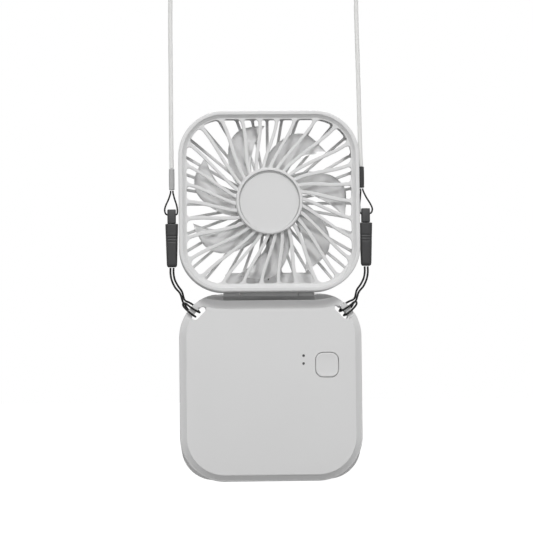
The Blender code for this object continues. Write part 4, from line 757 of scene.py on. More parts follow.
class Finish(Enum):
    """Every finish of the fan. The comments say what each process gives the eye."""

    # Sparks leave the mould pitted, so the covers have an even matt grain and a soft highlight.
    SHELL = MouldedPlastic("spark-eroded light ABS", "#DCDCDC", "#D9D9D9", Polymer.MATT)
    # Thin blades from a polished mould let light through and have a sharper highlight.
    BLADE = MouldedPlastic(
        "milky polished polypropylene", "#F6F6F6", "#F3F3F3", Polymer.POLISHED, 0.6, 0.004, 0.65
    )
    # The buckles' nylon drinks the light and shows a fine grain.
    BLACK = MouldedPlastic("moulded black nylon", "#333334", "#2D2D2E", Polymer.MATT, 0.3, 0.012)
    # Shrinking leaves the sleeve slightly rough.
    GREY = MouldedPlastic("shrunk grey nylon sleeve", "#BABABA", "#A8A8A8", Polymer.MATT, 0.4, 0.02)
    # The light guide is smooth and dark while it is off.
    ACRYLIC = MouldedPlastic(
        "smoked acrylic light guide", "#4A4A4A", "#444444", Polymer.POLISHED, 0.8, 0.002
    )
    # The die leaves the lead's sheath smooth, with a long soft gleam.
    SHEATH = MouldedPlastic(
        "extruded black PVC sheath", "#2C2C2C", "#272727", Polymer.POLISHED, 0.5, 0.006
    )
    # Eight carriers each way give the neck cord its diamonds, with painted shade where the strands dive under
    # each other.
    CORD = BraidedCord("white braided polyester cord", "#FAFAF9", "#D4D4D2", 0.75, 8)
    # Six finer carriers keep the thin loops almost plain black, with faint painted shade where the strands
    # dive under each other.
    THIN_CORD = BraidedCord("black braided nylon cord", "#1D1D1D", "#0C0C0C", 0.4, 6, 0.0)
    # Plating mirrors its surroundings, blurred along the turned direction.
    STEEL = WorkedMetal("nickel-plated steel", "#C6C7C9", 0.28, 1.0, (1, 1, 6))
    # Pressed powder is open and dull.
    BRONZE = WorkedMetal("sintered oil bronze", "#B08A55", 0.42, 1.0, (1, 1, 1), 0.08)
    # Ferrite in its binder is dark and hardly metallic.
    MAGNET = WorkedMetal("bonded ferrite magnet", "#3B3B3D", 0.55, 0.2, (1, 1, 1), 0.1)
    # The pouch's foil creases into broad bright facets.
    FOIL = WorkedMetal("embossed aluminium pouch foil", "#C9CACC", 0.33, 1.0, (3, 1, 3))
    # The stator's sheets show as fine lines along its edge.
    LAMINATION = BandedFinish(
        "stacked silicon steel laminations", "#8B8C90", "#5E5F63", 0.35, 0.4, 0.9, "Y"
    )
    # Traces under the mask show as lighter lines.
    BOARD = BandedFinish(
        "green solder mask over copper traces", "#1E5B3A", "#2B6F49", 0.9, 0.38, 0.0, "X"
    )

    @property
    def material(self) -> Material:
        """The finish's material, made when it is first asked for."""
        return bpy.data.materials.get(self.value.name) or self.value.build()


# Cords, buckles and sleeves


def from_parting(points: Sequence[Sequence[float]]) -> Array:
    """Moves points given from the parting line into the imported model's frame."""
    return np.asarray(points, dtype=float) - np.array((0, 0, CROWN_HEIGHT))


@dataclass(frozen=True)
class Braid:
    """A braided cord: two families of strands wound opposite ways, each a ridge of |sine|."""

    radius: float
    pitch: float
    step: float
    carriers: int
    sides: int
    relief_share: float = 0.07

    def size(self, share: Array, along: Array) -> Array:
        """The radius at a share round the cord and a distance along it.

        Args:
            share: The share of a turn round the cord.
            along: The distance from the cord's start.

        Returns:
            The radius, which goes with the product of the two families' ridges.
        """
        one = np.abs(np.sin(math.pi * (share * self.carriers + along / self.pitch)))
        other = np.abs(np.sin(math.pi * (share * self.carriers - along / self.pitch)))
        return self.radius * (1 - self.relief_share + self.relief_share * one * other)


@dataclass(frozen=True)
class Lanyard:
    """The neck cord with its sleeves, thin loops and two-part safety buckles.

    Heights are from the parting line.
    """

    neck: Braid = Braid(0.00115, 0.00075, 0.00035, 8, 24)
    upper: Braid = Braid(0.00045, 0.0004, 0.00028, 6, 16)
    lower: Braid = Braid(0.00055, 0.00045, 0.00032, 6, 16)
    sleeve_radius: float = 0.0015
    sleeve_length: float = 0.0111
    sleeve_ribs: int = 14
    sleeve_x: Pair = (-0.0508, 0.0490)
    sleeve_z: Pair = (0.0543, 0.0549)
    crimp_shares: Pair = (0.12, 0.88)
    crimp_width_share: float = 0.05
    crimp_depth_share: float = 0.035
    rib_depth_share: float = 0.018
    end_round_share: float = 0.16
    buckle_x: Pair = (-0.0510, 0.0510)
    buckle_top: float = 0.0440
    buckle_joint: float = 0.0364
    buckle_gap: float = 0.0003
    buckle_eye: float = 0.0413
    buckle_bottom: float = 0.0137
    eye_radius: float = 0.0008
    tongue: Triple = (0.0032, 0.0018, 0.0080)
    socket: Triple = (0.0038, 0.0024, 0.0093)
    socket_top: float = 0.00105
    upper_size: Pair = (0.0045, 0.0042)
    lower_size: Pair = (0.0067, 0.0050)
    foot_size: Pair = (0.0055, 0.0043)
    foot_round: float = 0.0018
    groove_shares: Triple = (0.56, 0.63, 0.70)
    groove_width_share: float = 0.016
    groove_depths: Pair = (0.0001, 0.0004)
    edge: float = 0.0004
    base_corner: float = 0.0232
    base_half_width: float = 0.0475
    base_top: float = -0.00005
    neck_points: tuple[Triple, ...] = (
        (-0.0508, 0, 0.0657), (-0.0509, 0, 0.0850), (-0.0509, 0, 0.1150), (-0.0509, 0, 0.1450),
        (-0.0502, 0, 0.1640), (-0.0460, 0, 0.1810), (-0.0365, 0, 0.1945), (-0.0198, 0, 0.2030),
        (0, 0, 0.2050), (0.0192, 0, 0.2028), (0.0350, 0, 0.1940), (0.0438, 0, 0.1800),
        (0.0471, 0, 0.1640), (0.0474, 0, 0.1450), (0.0479, 0, 0.1200), (0.0483, 0, 0.0950),
        (0.0486, 0, 0.0750), (0.0490, 0, 0.0663),
    )
    loop_points: tuple[Triple, ...] = (
        (0.00060, 0, 0.0539), (0.00070, 0, 0.0525), (0.00170, 0, 0.0493), (0.00310, 0, 0.0461),
        (0.00360, 0, 0.0439), (0.00335, 0, 0.0423), (0.00280, 0, 0.0415), (0.00200, 0, 0.0413),
        (0, 0, 0.0413), (-0.00210, 0, 0.0413), (-0.00275, 0, 0.0416), (-0.00303, 0, 0.0425),
        (-0.00300, 0, 0.0441), (-0.00260, 0, 0.0463), (-0.00160, 0, 0.0493), (-0.00070, 0, 0.0525),
        (-0.00060, 0, 0.0539),
    )
    strand_out: tuple[Triple, ...] = (
        (0.00080, 0, 0.0134), (0.00080, 0, 0.0100), (0.00010, -0.0001, 0.0066),
        (-0.00160, -0.0003, 0.0030), (-0.00410, -0.0005, -0.0001),
    )
    strand_in: tuple[Triple, ...] = (
        (-0.00080, 0, 0.0134), (-0.00080, 0, 0.0104), (-0.00140, 0.0001, 0.0072),
        (-0.00300, 0.0003, 0.0040), (-0.00510, 0.0005, 0.0009),
    )
    hitch: tuple[Triple, ...] = (
        (0.0284, -0.0016, 0.0004), (0.0266, -0.0018, 0.0022), (0.0246, -0.0024, 0.0040),
        (0.0222, -0.0026, 0.0055), (0.0194, -0.0026, 0.0048), (0.0183, -0.0026, 0.0020),
        (0.0182, -0.0027, -0.0018), (0.0190, -0.0030, -0.0047), (0.0214, -0.0033, -0.0057),
        (0.0241, -0.0034, -0.0050), (0.0266, -0.0031, -0.0036), (0.0275, -0.0021, -0.0030),
        (0.0262, -0.0013, -0.0042), (0.0240, -0.0011, -0.0048), (0.0212, -0.0006, -0.0057),
        (0.0190, 0, -0.0047), (0.0182, 0.0004, -0.0018), (0.0183, 0.0006, 0.0020),
        (0.0196, 0.0008, 0.0050), (0.0222, 0.0010, 0.0053), (0.0242, 0.0009, 0.0038),
        (0.0258, 0.0004, 0.0012), (0.0284, -0.0003, 0),
    )

    def corner_points(self, side: int) -> Array:
        """Places the hitch's points, which run away from a base corner's centre, along its bar and in depth.

        Args:
            side: -1 for the left corner and 1 for the right one.

        Returns:
            Points from the parting line.
        """
        out, along, depth = np.asarray(self.hitch, dtype=float).T
        diagonal = math.sqrt(0.5)
        x = side * (self.base_half_width - self.base_corner) + side * diagonal * (out - along)
        z = self.base_top - self.base_corner + diagonal * (out + along)
        return join_xyz(x, depth, z)

    def declare(
        self, name: str, route: Array, braid: Braid, finish: Finish
    ) -> None:
        """Args:
            name: The CAD node's name.
            route: Points of its line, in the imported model's frame.
            braid: Its sizes.
            finish: Its finish.
        """
        piece = make_object(f"{name}_braid", tube(route, braid.size, braid.sides), finish.material, 60)
        shown(piece, name, "base")

    def sleeve(self, side: int) -> Surface:
        """A crimped sleeve with fine lengthwise ribs: its radius follows cos 14a, its ends are rounded in.

        Args:
            side: 0 for left and 1 for right.

        Returns:
            The sleeve.
        """
        share = np.linspace(0, 1, 41)[:, None]
        ends = 1 - self.end_round_share * np.maximum(0, np.abs(2 * share - 1) * 14 - 13) ** 2
        dents = sum(np.exp(-(((share - spot) / self.crimp_width_share) ** 2)) for spot in self.crimp_shares)
        angle = np.linspace(0, math.tau, 6 * self.sleeve_ribs, endpoint=False)
        ribs = 1 - self.rib_depth_share * (1 + np.cos(self.sleeve_ribs * angle))
        radius = self.sleeve_radius * ends * (1 - self.crimp_depth_share * dents) * ribs
        low = self.sleeve_z[side] - CROWN_HEIGHT
        x, y = radius * np.cos(angle), radius * np.sin(angle)
        return grid(join_xyz(self.sleeve_x[side] + x, y, low + self.sleeve_length * share))

    def buckle_stack(self, x: float, sections: Sequence[Triple], power: float = 5.0) -> Surface:
        """Stacks superellipse sections |x/a|^p + |y/b|^p = 1, given as (width, depth, height).

        Args:
            x: The buckle's middle.
            sections: Widths, depths and heights.
            power: The superellipse's power, higher for squarer sections.

        Returns:
            The surface.
        """
        angle = np.linspace(0, math.tau, 48, endpoint=False)
        waves = np.stack((np.cos(angle), np.sin(angle)))
        across, deep = np.sign(waves) * np.abs(waves) ** (2 / power)
        sizes = np.asarray(sections, dtype=float)
        half_width, half_depth = sizes[:, :1] / 2, sizes[:, 1:2] / 2
        return grid(join_xyz(x + half_width * across, half_depth * deep, sizes[:, 2:] - CROWN_HEIGHT))

    def clip(self, x: float, word: str) -> Piece:
        """The buckle's upper half: a squared block with a tongue below and the loop's eye across it.

        Args:
            x: The buckle's middle.
            word: The side's name.

        Returns:
            The piece.
        """
        wide, deep = self.upper_size
        edge, joint, top = self.edge, self.buckle_joint + self.buckle_gap, self.buckle_top
        sections = (
            (wide - edge, deep - edge, joint),
            (wide, deep, joint + edge / 2),
            (wide, deep, top - edge),
            (wide - edge / 2, deep - edge / 2, top - edge / 3),
            (wide - 2 * edge, deep - 2 * edge, top),
        )
        piece = make_object(f"buckle_clip_{word}", self.buckle_stack(x, sections, 7.0), Finish.BLACK.material)
        width, depth, length = self.tongue
        tongue = RoundedBox(width, length + 2 * edge, edge, x, joint - length / 2 - CROWN_HEIGHT)
        cut(piece, [tongue.prism(-depth / 2, depth / 2, 4)], join=True)
        bore = np.array([(self.eye_radius, -wide), (self.eye_radius, wide)])
        eye = revolved(bore, 24, Vector((x, 0, self.buckle_eye - CROWN_HEIGHT)), SIDEWAYS)
        cut(piece, [eye])
        smooth_again(piece)
        return shown(piece, f"buckle_upper_{word}", "base")

    def body(self, x: float, word: str) -> Piece:
        """The buckle's lower half: it tapers to a rounded foot, with three grip grooves across each face.

        Args:
            x: The buckle's middle.
            word: The side's name.

        Returns:
            The piece.
        """
        edge, joint, turn = self.edge, self.buckle_joint, self.foot_round
        foot, size = np.array(self.foot_size), np.array(self.lower_size)
        grooves = np.array(self.groove_depths)
        sections = [
            (*(foot - turn * (1 - math.sin(step))), self.buckle_bottom + turn * (1 - math.cos(step)))
            for step in np.linspace(0, math.pi / 2, 7)
        ]
        heights = np.linspace(self.buckle_bottom + turn, joint - edge, 61)
        for height in heights[1:]:
            share = (height - heights[0]) / (heights[-1] - heights[0])
            away = [(share - spot) / self.groove_width_share for spot in self.groove_shares]
            groove = sum(math.exp(-(distance**2)) for distance in away)
            sections.append((*(foot + (size - foot) * share - grooves * groove), height))
        sections.append((*(size - edge / 2), joint - edge / 3))
        sections.append((*(size - 2 * edge), joint))
        piece = make_object(f"buckle_body_{word}", self.buckle_stack(x, sections), Finish.BLACK.material)
        width, depth, length = self.socket
        socket = RoundedBox(width, length, edge, x, joint + self.socket_top - length / 2 - CROWN_HEIGHT)
        cut(piece, [socket.prism(-depth / 2, depth / 2, 4)])
        smooth_again(piece)
        return shown(piece, f"buckle_lower_{word}", "base")

    def build(self) -> None:
        """Makes both sides and the neck cord, each cord as a braided tube in place of its CAD node."""
        for side, (word, finish) in enumerate((("left", Finish.GREY), ("right", Finish.BLACK))):
            sign, x = 2 * side - 1, self.buckle_x[side]
            sleeve = make_object(f"cord_ferrule_{word}", self.sleeve(side), finish.material, 50)
            shown(sleeve, f"cord_sleeve_{word}", "base")
            clip, body = self.clip(x, word), self.body(x, word)
            out, depth, high = np.asarray(self.loop_points).T
            lift = np.maximum(0, (high - self.buckle_top) / (high[0] - self.buckle_top))
            loop = join_xyz(
                x + (self.sleeve_x[side] - x) * lift + sign * out,
                depth,
                high + (self.sleeve_z[side] - self.sleeve_z[0]) * lift - CROWN_HEIGHT,
            )
            route = smooth_route(loop, self.upper.step)
            self.declare(f"upper_loop_{word}", route, self.upper, Finish.THIN_CORD)
            strands = (self.strand_out, self.strand_in)
            one, other = (np.asarray(strand) * (sign, 1, 1) + (x, 0, 0) for strand in strands)
            hitch = from_parting(np.vstack((one, self.corner_points(sign), other[::-1])))
            route = smooth_route(hitch, self.lower.step)
            self.declare(f"lower_loop_{word}", route, self.lower, Finish.THIN_CORD)
        route = smooth_route(from_parting(self.neck_points), self.neck.step)
        self.declare("neck_cord", route, self.neck, Finish.CORD)


# The head


@dataclass(frozen=True)
class Square:
    """The head's rounded square, seen from its centre."""

    half: float
    corner: float

    def reach(self, angle: Array) -> Array:
        """How far the square goes from its centre: half / max(|cos|, |sin|), or the corner's arc past it.

        Args:
            angle: Angles from the first axis.

        Returns:
            Distances from the centre to the edge.
        """
        across, up = np.abs(np.cos(angle)), np.abs(np.sin(angle))
        straight = self.half / np.maximum(across, up)
        arc = self.half - self.corner
        along = arc * (across + up)
        curved = along + np.sqrt(np.maximum(0, along**2 - 2 * arc**2 + self.corner**2))
        return np.where(straight * np.minimum(across, up) <= arc, straight, curved)


@dataclass
class BarPlate:
    """A plate of bars between a hub and a rounded square.

    A bar's middle line turns by swirl * (1 - share)^2 between the hub (share 0) and the rim (share 1).
    The slots have rounded ends, and their edges on both faces are quarter-rounded.
    """

    bars: int
    start: float
    swirl: float
    inner: float
    hub: float
    square: Square
    edge: Square
    width: float
    lead_width: float
    round_out: float
    round_in: float
    thickness: float
    chamfer: float
    face: Callable[[Array, Array], Array]
    limit: Callable[[Array, Array], Array]
    side_steps: int = 22
    round_steps: int = 7
    edge_steps: int = 4

    def run(self) -> tuple[Array, Array]:
        """Shares of a slot's length along its side, and the bar's extra half width there.

        Returns:
            The shares, from 0 at the hub to 1 at the rim, and the extra widths that round the slot's ends.
        """
        long = self.square.half - self.inner
        low, high = self.round_in / long, 1 - self.round_out / long
        turn = np.linspace(0, math.pi / 2, self.round_steps + 1)
        share = np.concatenate(
            (low * (1 - np.cos(turn[:-1])), np.linspace(low, high, self.side_steps + 1),
             high + (1 - high) * np.sin(turn[1:]))
        )
        extra = np.concatenate(
            (self.round_in * (1 - np.sin(turn[:-1])), np.zeros(self.side_steps + 1),
             self.round_out * (1 - np.cos(turn[1:])))
        )
        return share, extra

    def place(self, angle: Array, radius: Array, behind: float) -> Array:
        """Points at an angle and radius round the head's centre, behind the face."""
        x, z = radius * np.cos(angle), radius * np.sin(angle)
        return join_xyz(x, self.face(x, z) + behind, z)

    def side(self, side: int, share: Array, extra: Array, spread: float) -> tuple[Array, Array]:
        """One side of every slot.

        Args:
            side: 1 for the side by the slot's own bar and -1 for the side by the next one.
            share: Shares of the slot's length.
            extra: Extra half widths.
            spread: How far the opening is widened for the rounded edge.

        Returns:
            Angles and radii, bars by points.
        """
        number = np.arange(self.bars)[:, None]
        bar = number + (0 if side > 0 else 1)
        angle = self.start + math.tau / self.bars * bar + self.swirl * (1 - share[None]) ** 2
        long = self.limit(angle, number) - self.inner
        radius = self.inner + share * long
        lean = radius * self.swirl * 2 * (1 - share) / long
        width = np.where(bar % self.bars == 0, self.lead_width, self.width)
        half = width / 2 * np.sqrt(1 + lean**2) / radius
        angle = angle + side * (half + (extra - spread) / radius)
        pushed = share + spread / long * (2 * share - 1)
        return angle, self.inner + pushed * (self.limit(angle, number) - self.inner)

    def build(self) -> Surface:
        """Makes the closed plate round the head's centre.

        Returns:
            The surface.
        """
        share, extra = self.run()
        count, bars = len(share), self.bars
        number = np.arange(bars)
        pitch = math.tau / bars
        turn = np.linspace(0, math.pi / 2, self.edge_steps + 1)
        edges = [(self.chamfer * (1 - math.sin(t)), self.chamfer * (1 - math.cos(t))) for t in turn[::-1]]
        levels = edges + [(self.thickness - behind, spread) for behind, spread in edges[::-1]]
        middle_angle = self.start + pitch * number[:, None] + self.swirl * (1 - share[None]) ** 2
        last = self.limit(middle_angle, number[:, None] - 1)
        both = np.maximum(self.limit(middle_angle, number[:, None]), last)
        middle_radius = self.inner + share * (both - self.inner)
        at_bar = self.start + pitch * number
        between = at_bar + pitch / 2
        blocks = []
        for behind in (0.0, self.thickness):
            blocks.append(self.place(middle_angle, middle_radius, behind).reshape(-1, 3))
            blocks.append(self.place(at_bar, self.edge.reach(at_bar), behind))
            blocks.append(self.place(between, self.edge.reach(between), behind))
            blocks.append(self.place(middle_angle[:, 0], np.full(bars, self.hub), behind))
        per_face = bars * count + 3 * bars
        for behind, spread in levels:
            near_angle, near_radius = self.side(1, share, extra, spread)
            far_angle, far_radius = self.side(-1, share, extra, spread)
            top_angle = (near_angle[:, -1:] + far_angle[:, -1:]) / 2
            top_radius = self.limit(top_angle, number[:, None]) + spread
            angle = np.hstack((near_angle, top_angle, far_angle[:, ::-1]))
            radius = np.hstack((near_radius, top_radius, far_radius[:, ::-1]))
            blocks.append(self.place(angle, radius, behind).reshape(-1, 3))
        round_count = 2 * count + 1
        slot = 2 * per_face + np.arange(len(levels) * bars * round_count).reshape(-1, bars, round_count)
        after = np.roll(slot, -1, axis=2)
        walls = np.stack((slot[:-1], after[:-1], after[1:], slot[1:]), -1).reshape(-1, 4)
        faces = [tuple(face) for face in walls.tolist()]
        for face_number, level in ((0, 0), (1, len(levels) - 1)):
            base = face_number * per_face
            here = base + np.arange(bars * count).reshape(bars, count)
            there = np.roll(here, -1, axis=0)
            edge = base + bars * count + np.arange(bars)
            halfway, root = edge + bars, edge + 2 * bars
            near, far = slot[level, :, :count], slot[level, :, count + 1 :][:, ::-1]
            for middle, side in ((here, near), (there, far)):
                strips = np.stack((middle[:, :-1], middle[:, 1:], side[:, 1:], side[:, :-1]), -1)
                faces.extend(tuple(face) for face in strips.reshape(-1, 4).tolist())
            top = slot[level, :, count]
            ends = [
                np.stack((here[:, -1], edge, halfway, top, near[:, -1]), -1),
                np.stack((there[:, -1], np.roll(edge, -1), halfway, top, far[:, -1]), -1),
                np.stack((here[:, 0], near[:, 0], far[:, 0], there[:, 0], np.roll(root, -1), root), -1),
            ]
            for end in ends:
                faces.extend(tuple(face) for face in end.tolist())
            faces.append(tuple(root.tolist()))
        edge = bars * count + np.arange(bars)
        halfway = edge + bars
        for first, second in ((edge, halfway), (halfway, np.roll(edge, -1))):
            rim = np.stack((first, second, second + per_face, first + per_face), -1)
            faces.extend(tuple(face) for face in rim.tolist())
        return Surface(np.concatenate(blocks), faces)


@dataclass(frozen=True)
class FanHead:
    """The two halves of the head: swirl grille with its hub disc in front, straight bars and hinge behind."""

    side: float = 0.0945
    corner: float = 0.0235
    lift: float = 0.00025
    front: float = -0.0100
    back: float = 0.0100
    seam: float = 0.0010
    clearance: float = 0.0003
    overrun: float = 0.0010
    hair: float = 0.0001
    wall: float = 0.0018
    lip: float = 0.0019
    lip_wall: float = 0.00075
    rim_inner: float = 0.0035
    rim_depth: float = 0.0046
    side_edge: float = 0.0008
    rim_front: float = 0.0018
    facet_width: float = 0.0018
    facet_depth: float = 0.0019
    inset: float = 0.0042
    hub_radius: float = 0.01725
    hub_top: float = 0.0004
    hub_slope: float = 0.0009
    hub_crest: float = 0.0013
    hub_recess: float = 0.0009
    hub_seat: float = -0.0083
    disc_gap: float = 0.0006
    disc_edge: float = 0.00012
    disc_bore: float = 0.0001
    bars: int = 30
    swirl: float = math.radians(17)
    bar_width: float = 0.00172
    bar_depth: float = 0.0020
    bar_root: float = 0.00065
    bar_overlap: float = 0.0013
    slot_round: float = 0.0019
    slot_root_round: float = 0.0007
    bar_chamfer: float = 0.0002
    rear_bars: int = 36
    rear_hub: float = 0.0172
    rear_hub_overlap: float = 0.0019
    rear_inset: float = 0.0028
    rear_plate: float = 0.0018
    rear_round: float = 0.0012
    rear_bar_width: float = 0.0015
    rear_lead_width: float = 0.0024
    rear_slot_round: float = 0.00095
    rear_slot_root_round: float = 0.0006
    rear_chamfer: float = 0.00035
    rear_bevel: float = 0.00025
    rear_boss: Pair = (0.0040, 0.0028)
    rear_boss_front: float = -0.0010
    block_width: float = 0.0460
    block_height: float = 0.0100
    block_depth: float = 0.0026
    block_corner: float = 0.00095
    block_edge: float = 0.0005
    block_back_edge: float = 0.0014
    block_ledge: float = 0.0006
    hinge_y: float = 0.0104
    hinge_z: float = -0.0019
    hinge_radius: float = 0.0036
    hinge_edge: float = 0.0003
    knuckle: float = 0.0152
    knuckle_end: float = 0.0240
    pin_room: Pair = (0.0028, 0.0087)
    web_inset: float = 0.0045
    screw_x: float = 0.01399
    screw_z: float = 0.0042
    screw_boss: float = 0.0018
    screw_boss_back: float = 0.0049
    screw_seat: float = 0.0017
    seat_depth: float = 0.0021

    @property
    def centre(self) -> Vector:
        """The head's middle, from the parting line."""
        return Vector((0, 0, self.lift + self.side / 2))

    @property
    def hinge(self) -> Vector:
        """The middle of the hinge's axis, from the parting line."""
        return Vector((0, self.hinge_y, self.hinge_z))

    @property
    def outline(self) -> RoundedBox:
        """The head's outline."""
        return RoundedBox(self.side, self.side, self.corner, 0, self.centre.z)

    def square(self, inset: float) -> Square:
        """The outline moved inwards, seen from its centre."""
        return Square(self.side / 2 - inset, self.corner - inset)

    def dome(self, x: Array, z: Array) -> Array:
        """Depth of the front bars' face: it falls back with the square of the share from hub ring to rim.

        Args:
            x: Places across, from the head's middle.
            z: Places up, from the head's middle.

        Returns:
            Depths of the face.
        """
        radius = np.hypot(x, z)
        outer = self.square(self.inset).reach(np.arctan2(z, x))
        share = np.clip((radius - self.hub_radius) / (outer - self.hub_radius), 0, 1)
        fall = self.front + self.facet_depth + self.hair - self.hub_seat
        return self.hub_seat + fall * share**2

    def grille(self) -> Piece:
        """Makes the front half: the rim's profile carried round the square, the swirl bars and the hub ring.

        Returns:
            The front half.
        """
        hair, inner, foot = self.hair, self.rim_inner, self.front + self.rim_depth
        facet, ledge = self.rim_front + self.facet_width, self.front + self.facet_depth
        back = self.seam - self.clearance / 2
        groove = self.wall - self.lip_wall - self.clearance
        rim = self.outline.swept(
            profile(
                (0, back),
                (0, (back + self.front + self.side_edge) / 2),
                bend((0, self.front + self.side_edge), (self.side_edge * 0.8, self.front), 8),
                bend((self.rim_front, self.front), (self.rim_front + 2 * hair, self.front + hair), 3, True),
                (facet, ledge),
                (facet + 2 * hair, ledge + hair),
                (facet + 2 * hair, ledge + self.bar_depth * 0.7),
                (inner, ledge + self.bar_depth),
                (inner, foot + self.bar_depth * 0.7),
                (self.wall, foot + self.bar_depth),
                (self.wall, back - self.lip - self.clearance),
                (groove, back - self.lip - self.clearance),
                (groove, back),
            ),
            28,
            True,
        )
        bars = BarPlate(
            self.bars, 0, self.swirl, self.hub_radius - self.bar_root,
            self.hub_radius - self.bar_root - self.bar_overlap, self.square(self.inset),
            self.square((self.wall + facet) / 2), self.bar_width, self.bar_width, self.slot_round,
            self.slot_root_round, self.bar_depth, self.bar_chamfer, self.dome,
            lambda angle, number: self.square(self.inset).reach(angle),
        ).build()
        top = self.front - self.hub_top
        disc = self.hub_radius - self.hub_slope - self.hub_top
        crest = self.hub_radius - self.hub_crest
        collar = revolved(
            profile(
                (self.hub_radius + 4 * hair, self.hub_seat + self.bar_depth * 0.4),
                (self.hub_radius + 2 * hair, self.hub_seat),
                bend((self.hub_radius, top + self.hub_top), (self.hub_radius - self.hub_top, top), 5),
                (crest + hair, top),
                (crest, top + hair),
                (crest - hair, top + self.hub_recess + 2 * hair),
                (disc - self.clearance, self.hub_seat + self.bar_depth * 0.2),
                (disc - self.wall, self.hub_seat + self.bar_depth * 0.4),
            ),
            96,
            self.centre,
            BACKWARDS,
            closed=True,
        )
        bosses = [
            rod(self.screw_boss, foot + self.overrun, self.screw_boss_back,
                Vector((side * self.screw_x, 0, self.screw_z)), steps=24, edge=0.0002)
            for side in (-1, 1)
        ]
        whole = merged([rim, bars.moved(Matrix.Translation(self.centre)), collar, *bosses])
        return shown(
            make_object("swirl_grille", at_crown(whole), Finish.SHELL.material, 38), "front_grille", "head"
        )

    def hub_disc(self) -> Piece:
        """Makes the bare disc in the hub: a flat face with a rounded edge, set below the ring's crest.

        Returns:
            The disc.
        """
        top, low = self.front - self.hub_top + self.hub_recess, self.hub_seat - self.clearance
        radius, edge = self.hub_radius - self.hub_crest - self.disc_gap, self.disc_edge
        shape = profile(
            (self.disc_bore, top),
            (radius * 0.5, top),
            (radius - 8 * self.hair, top),
            bend((radius - edge, top), (radius, top + edge), 3, True),
            (radius, low),
            (self.disc_bore, low),
        )
        disc = revolved(shape, 96, self.centre - Vector((0, 0, self.disc_gap)), BACKWARDS)
        return shown(make_object("hub_disc", at_crown(disc), Finish.SHELL.material, 38), "hub_cap", "head")

    def rear_limit(self, angle: Array, number: Array) -> Array:
        """Where the rear slots end: at the rim, or above the hinge block for those that reach it.

        Args:
            angle: Angles round the head's centre.
            number: The slots' numbers.

        Returns:
            Distances from the centre.
        """
        free = self.square(self.rear_inset).reach(angle)
        edge = self.side / 2 - self.block_height - self.block_ledge
        middle = -math.pi / 2 + math.tau / self.rear_bars * (number + 0.5)
        across, down = np.abs(np.cos(middle)), -np.sin(middle)
        stops = (down > 0) & (across * edge < self.block_width / 2 * down)
        low = np.minimum(free, edge / np.maximum(1e-6, -np.sin(angle)))
        return np.where(stops, low, free)

    def rear(self) -> Piece:
        """Makes the rear half with its straight bars, hinge block and barrel.

        Returns:
            The rear half.
        """
        seam, foot = self.seam + self.clearance / 2, self.rear_inset - self.clearance
        lip_out = self.wall - self.lip_wall
        thick, plate = self.rear_plate, self.back - self.rear_plate
        rim = self.outline.swept(
            profile(
                (0, seam),
                (0, (seam + self.back - self.rear_round) / 2),
                bend((0, self.back - self.rear_round), (self.rear_round, self.back), 8),
                (foot - 4 * self.hair, self.back - thick * 0.2),
                (foot, self.back - thick * 0.4),
                (foot, plate + thick * 0.2),
                (self.wall, plate - thick * 0.5),
                (self.wall, seam - self.lip),
                (lip_out, seam - self.lip),
                (lip_out, seam),
            ),
            28,
            True,
        )
        bars = BarPlate(
            self.rear_bars, -math.pi / 2, 0.0, self.rear_hub, self.rear_hub - self.rear_hub_overlap,
            self.square(self.rear_inset), self.square((self.wall + self.rear_inset) / 2), self.rear_bar_width,
            self.rear_lead_width, self.rear_slot_round, self.rear_slot_root_round, thick * 0.9,
            self.rear_chamfer, lambda x, z: np.full(np.shape(x), self.back - thick * 0.95), self.rear_limit,
            side_steps=4, round_steps=4, edge_steps=3,
        ).build()
        block = RoundedBox(self.block_width, self.block_height - self.wall, self.block_corner, 0,
                           self.lift + (self.block_height + self.wall) / 2)
        near, edge = self.back - self.block_depth, self.block_edge
        block_solid = block.swept(
            profile(
                bend((edge, near), (0, near + edge), 3, True),
                bend((0, self.back - self.block_back_edge), (edge, self.back - thick / 2), 3),
            ),
            6,
            False,
        )
        radius, hinge = self.hinge_radius, self.hinge
        web_top, web_low = self.lift + self.wall + self.rear_round, self.hinge_z + radius / 2
        web_box = RoundedBox(2 * (self.knuckle - self.web_inset), web_top - self.hinge_z - radius / 2, 0.0002,
                             0, (web_top + web_low) / 2)
        web = web_box.prism(self.hinge_y - radius / 2, self.back - self.clearance / 2, 2)
        barrel = rod(radius, -self.knuckle, self.knuckle, hinge, SIDEWAYS, 48, self.hinge_edge)
        piece = make_object("rear_moulding", at_crown(rim), Finish.SHELL.material)
        cut(piece, [at_crown(solid) for solid in (block_solid, web, barrel)], join=True)
        rooms = []
        for side in (-1, 1):
            axis, (pin, start) = Vector((side, 0, 0)), self.pin_room
            end = self.knuckle_end + self.clearance
            rooms.append(rod(radius + self.clearance, self.knuckle, end, hinge, axis, 48))
            rooms.append(rod(pin, start, self.knuckle + self.overrun, hinge, axis))
            rooms.append(rod(self.screw_seat, self.back - self.seat_depth, self.back + self.overrun,
                             Vector((side * self.screw_x, 0, self.screw_z))))
        cut(piece, [at_crown(room) for room in rooms])
        cut(piece, [at_crown(merged([bars.moved(Matrix.Translation(self.centre))]))], join=True)
        outer, inner = self.rear_boss
        boss = ring(outer, inner, self.rear_boss_front, self.back - thick / 2, 0.0002, 48, self.centre)
        shown(make_object("rear_boss", at_crown(boss), Finish.SHELL.material), "rear_cover", "head")
        soften(piece, self.rear_bevel, 42)
        smooth_again(piece, 40)
        return shown(piece, "rear_cover", "head")

    def build(self) -> None:
        """Makes the head's pieces."""
        self.grille()
        self.hub_disc()
        self.rear()


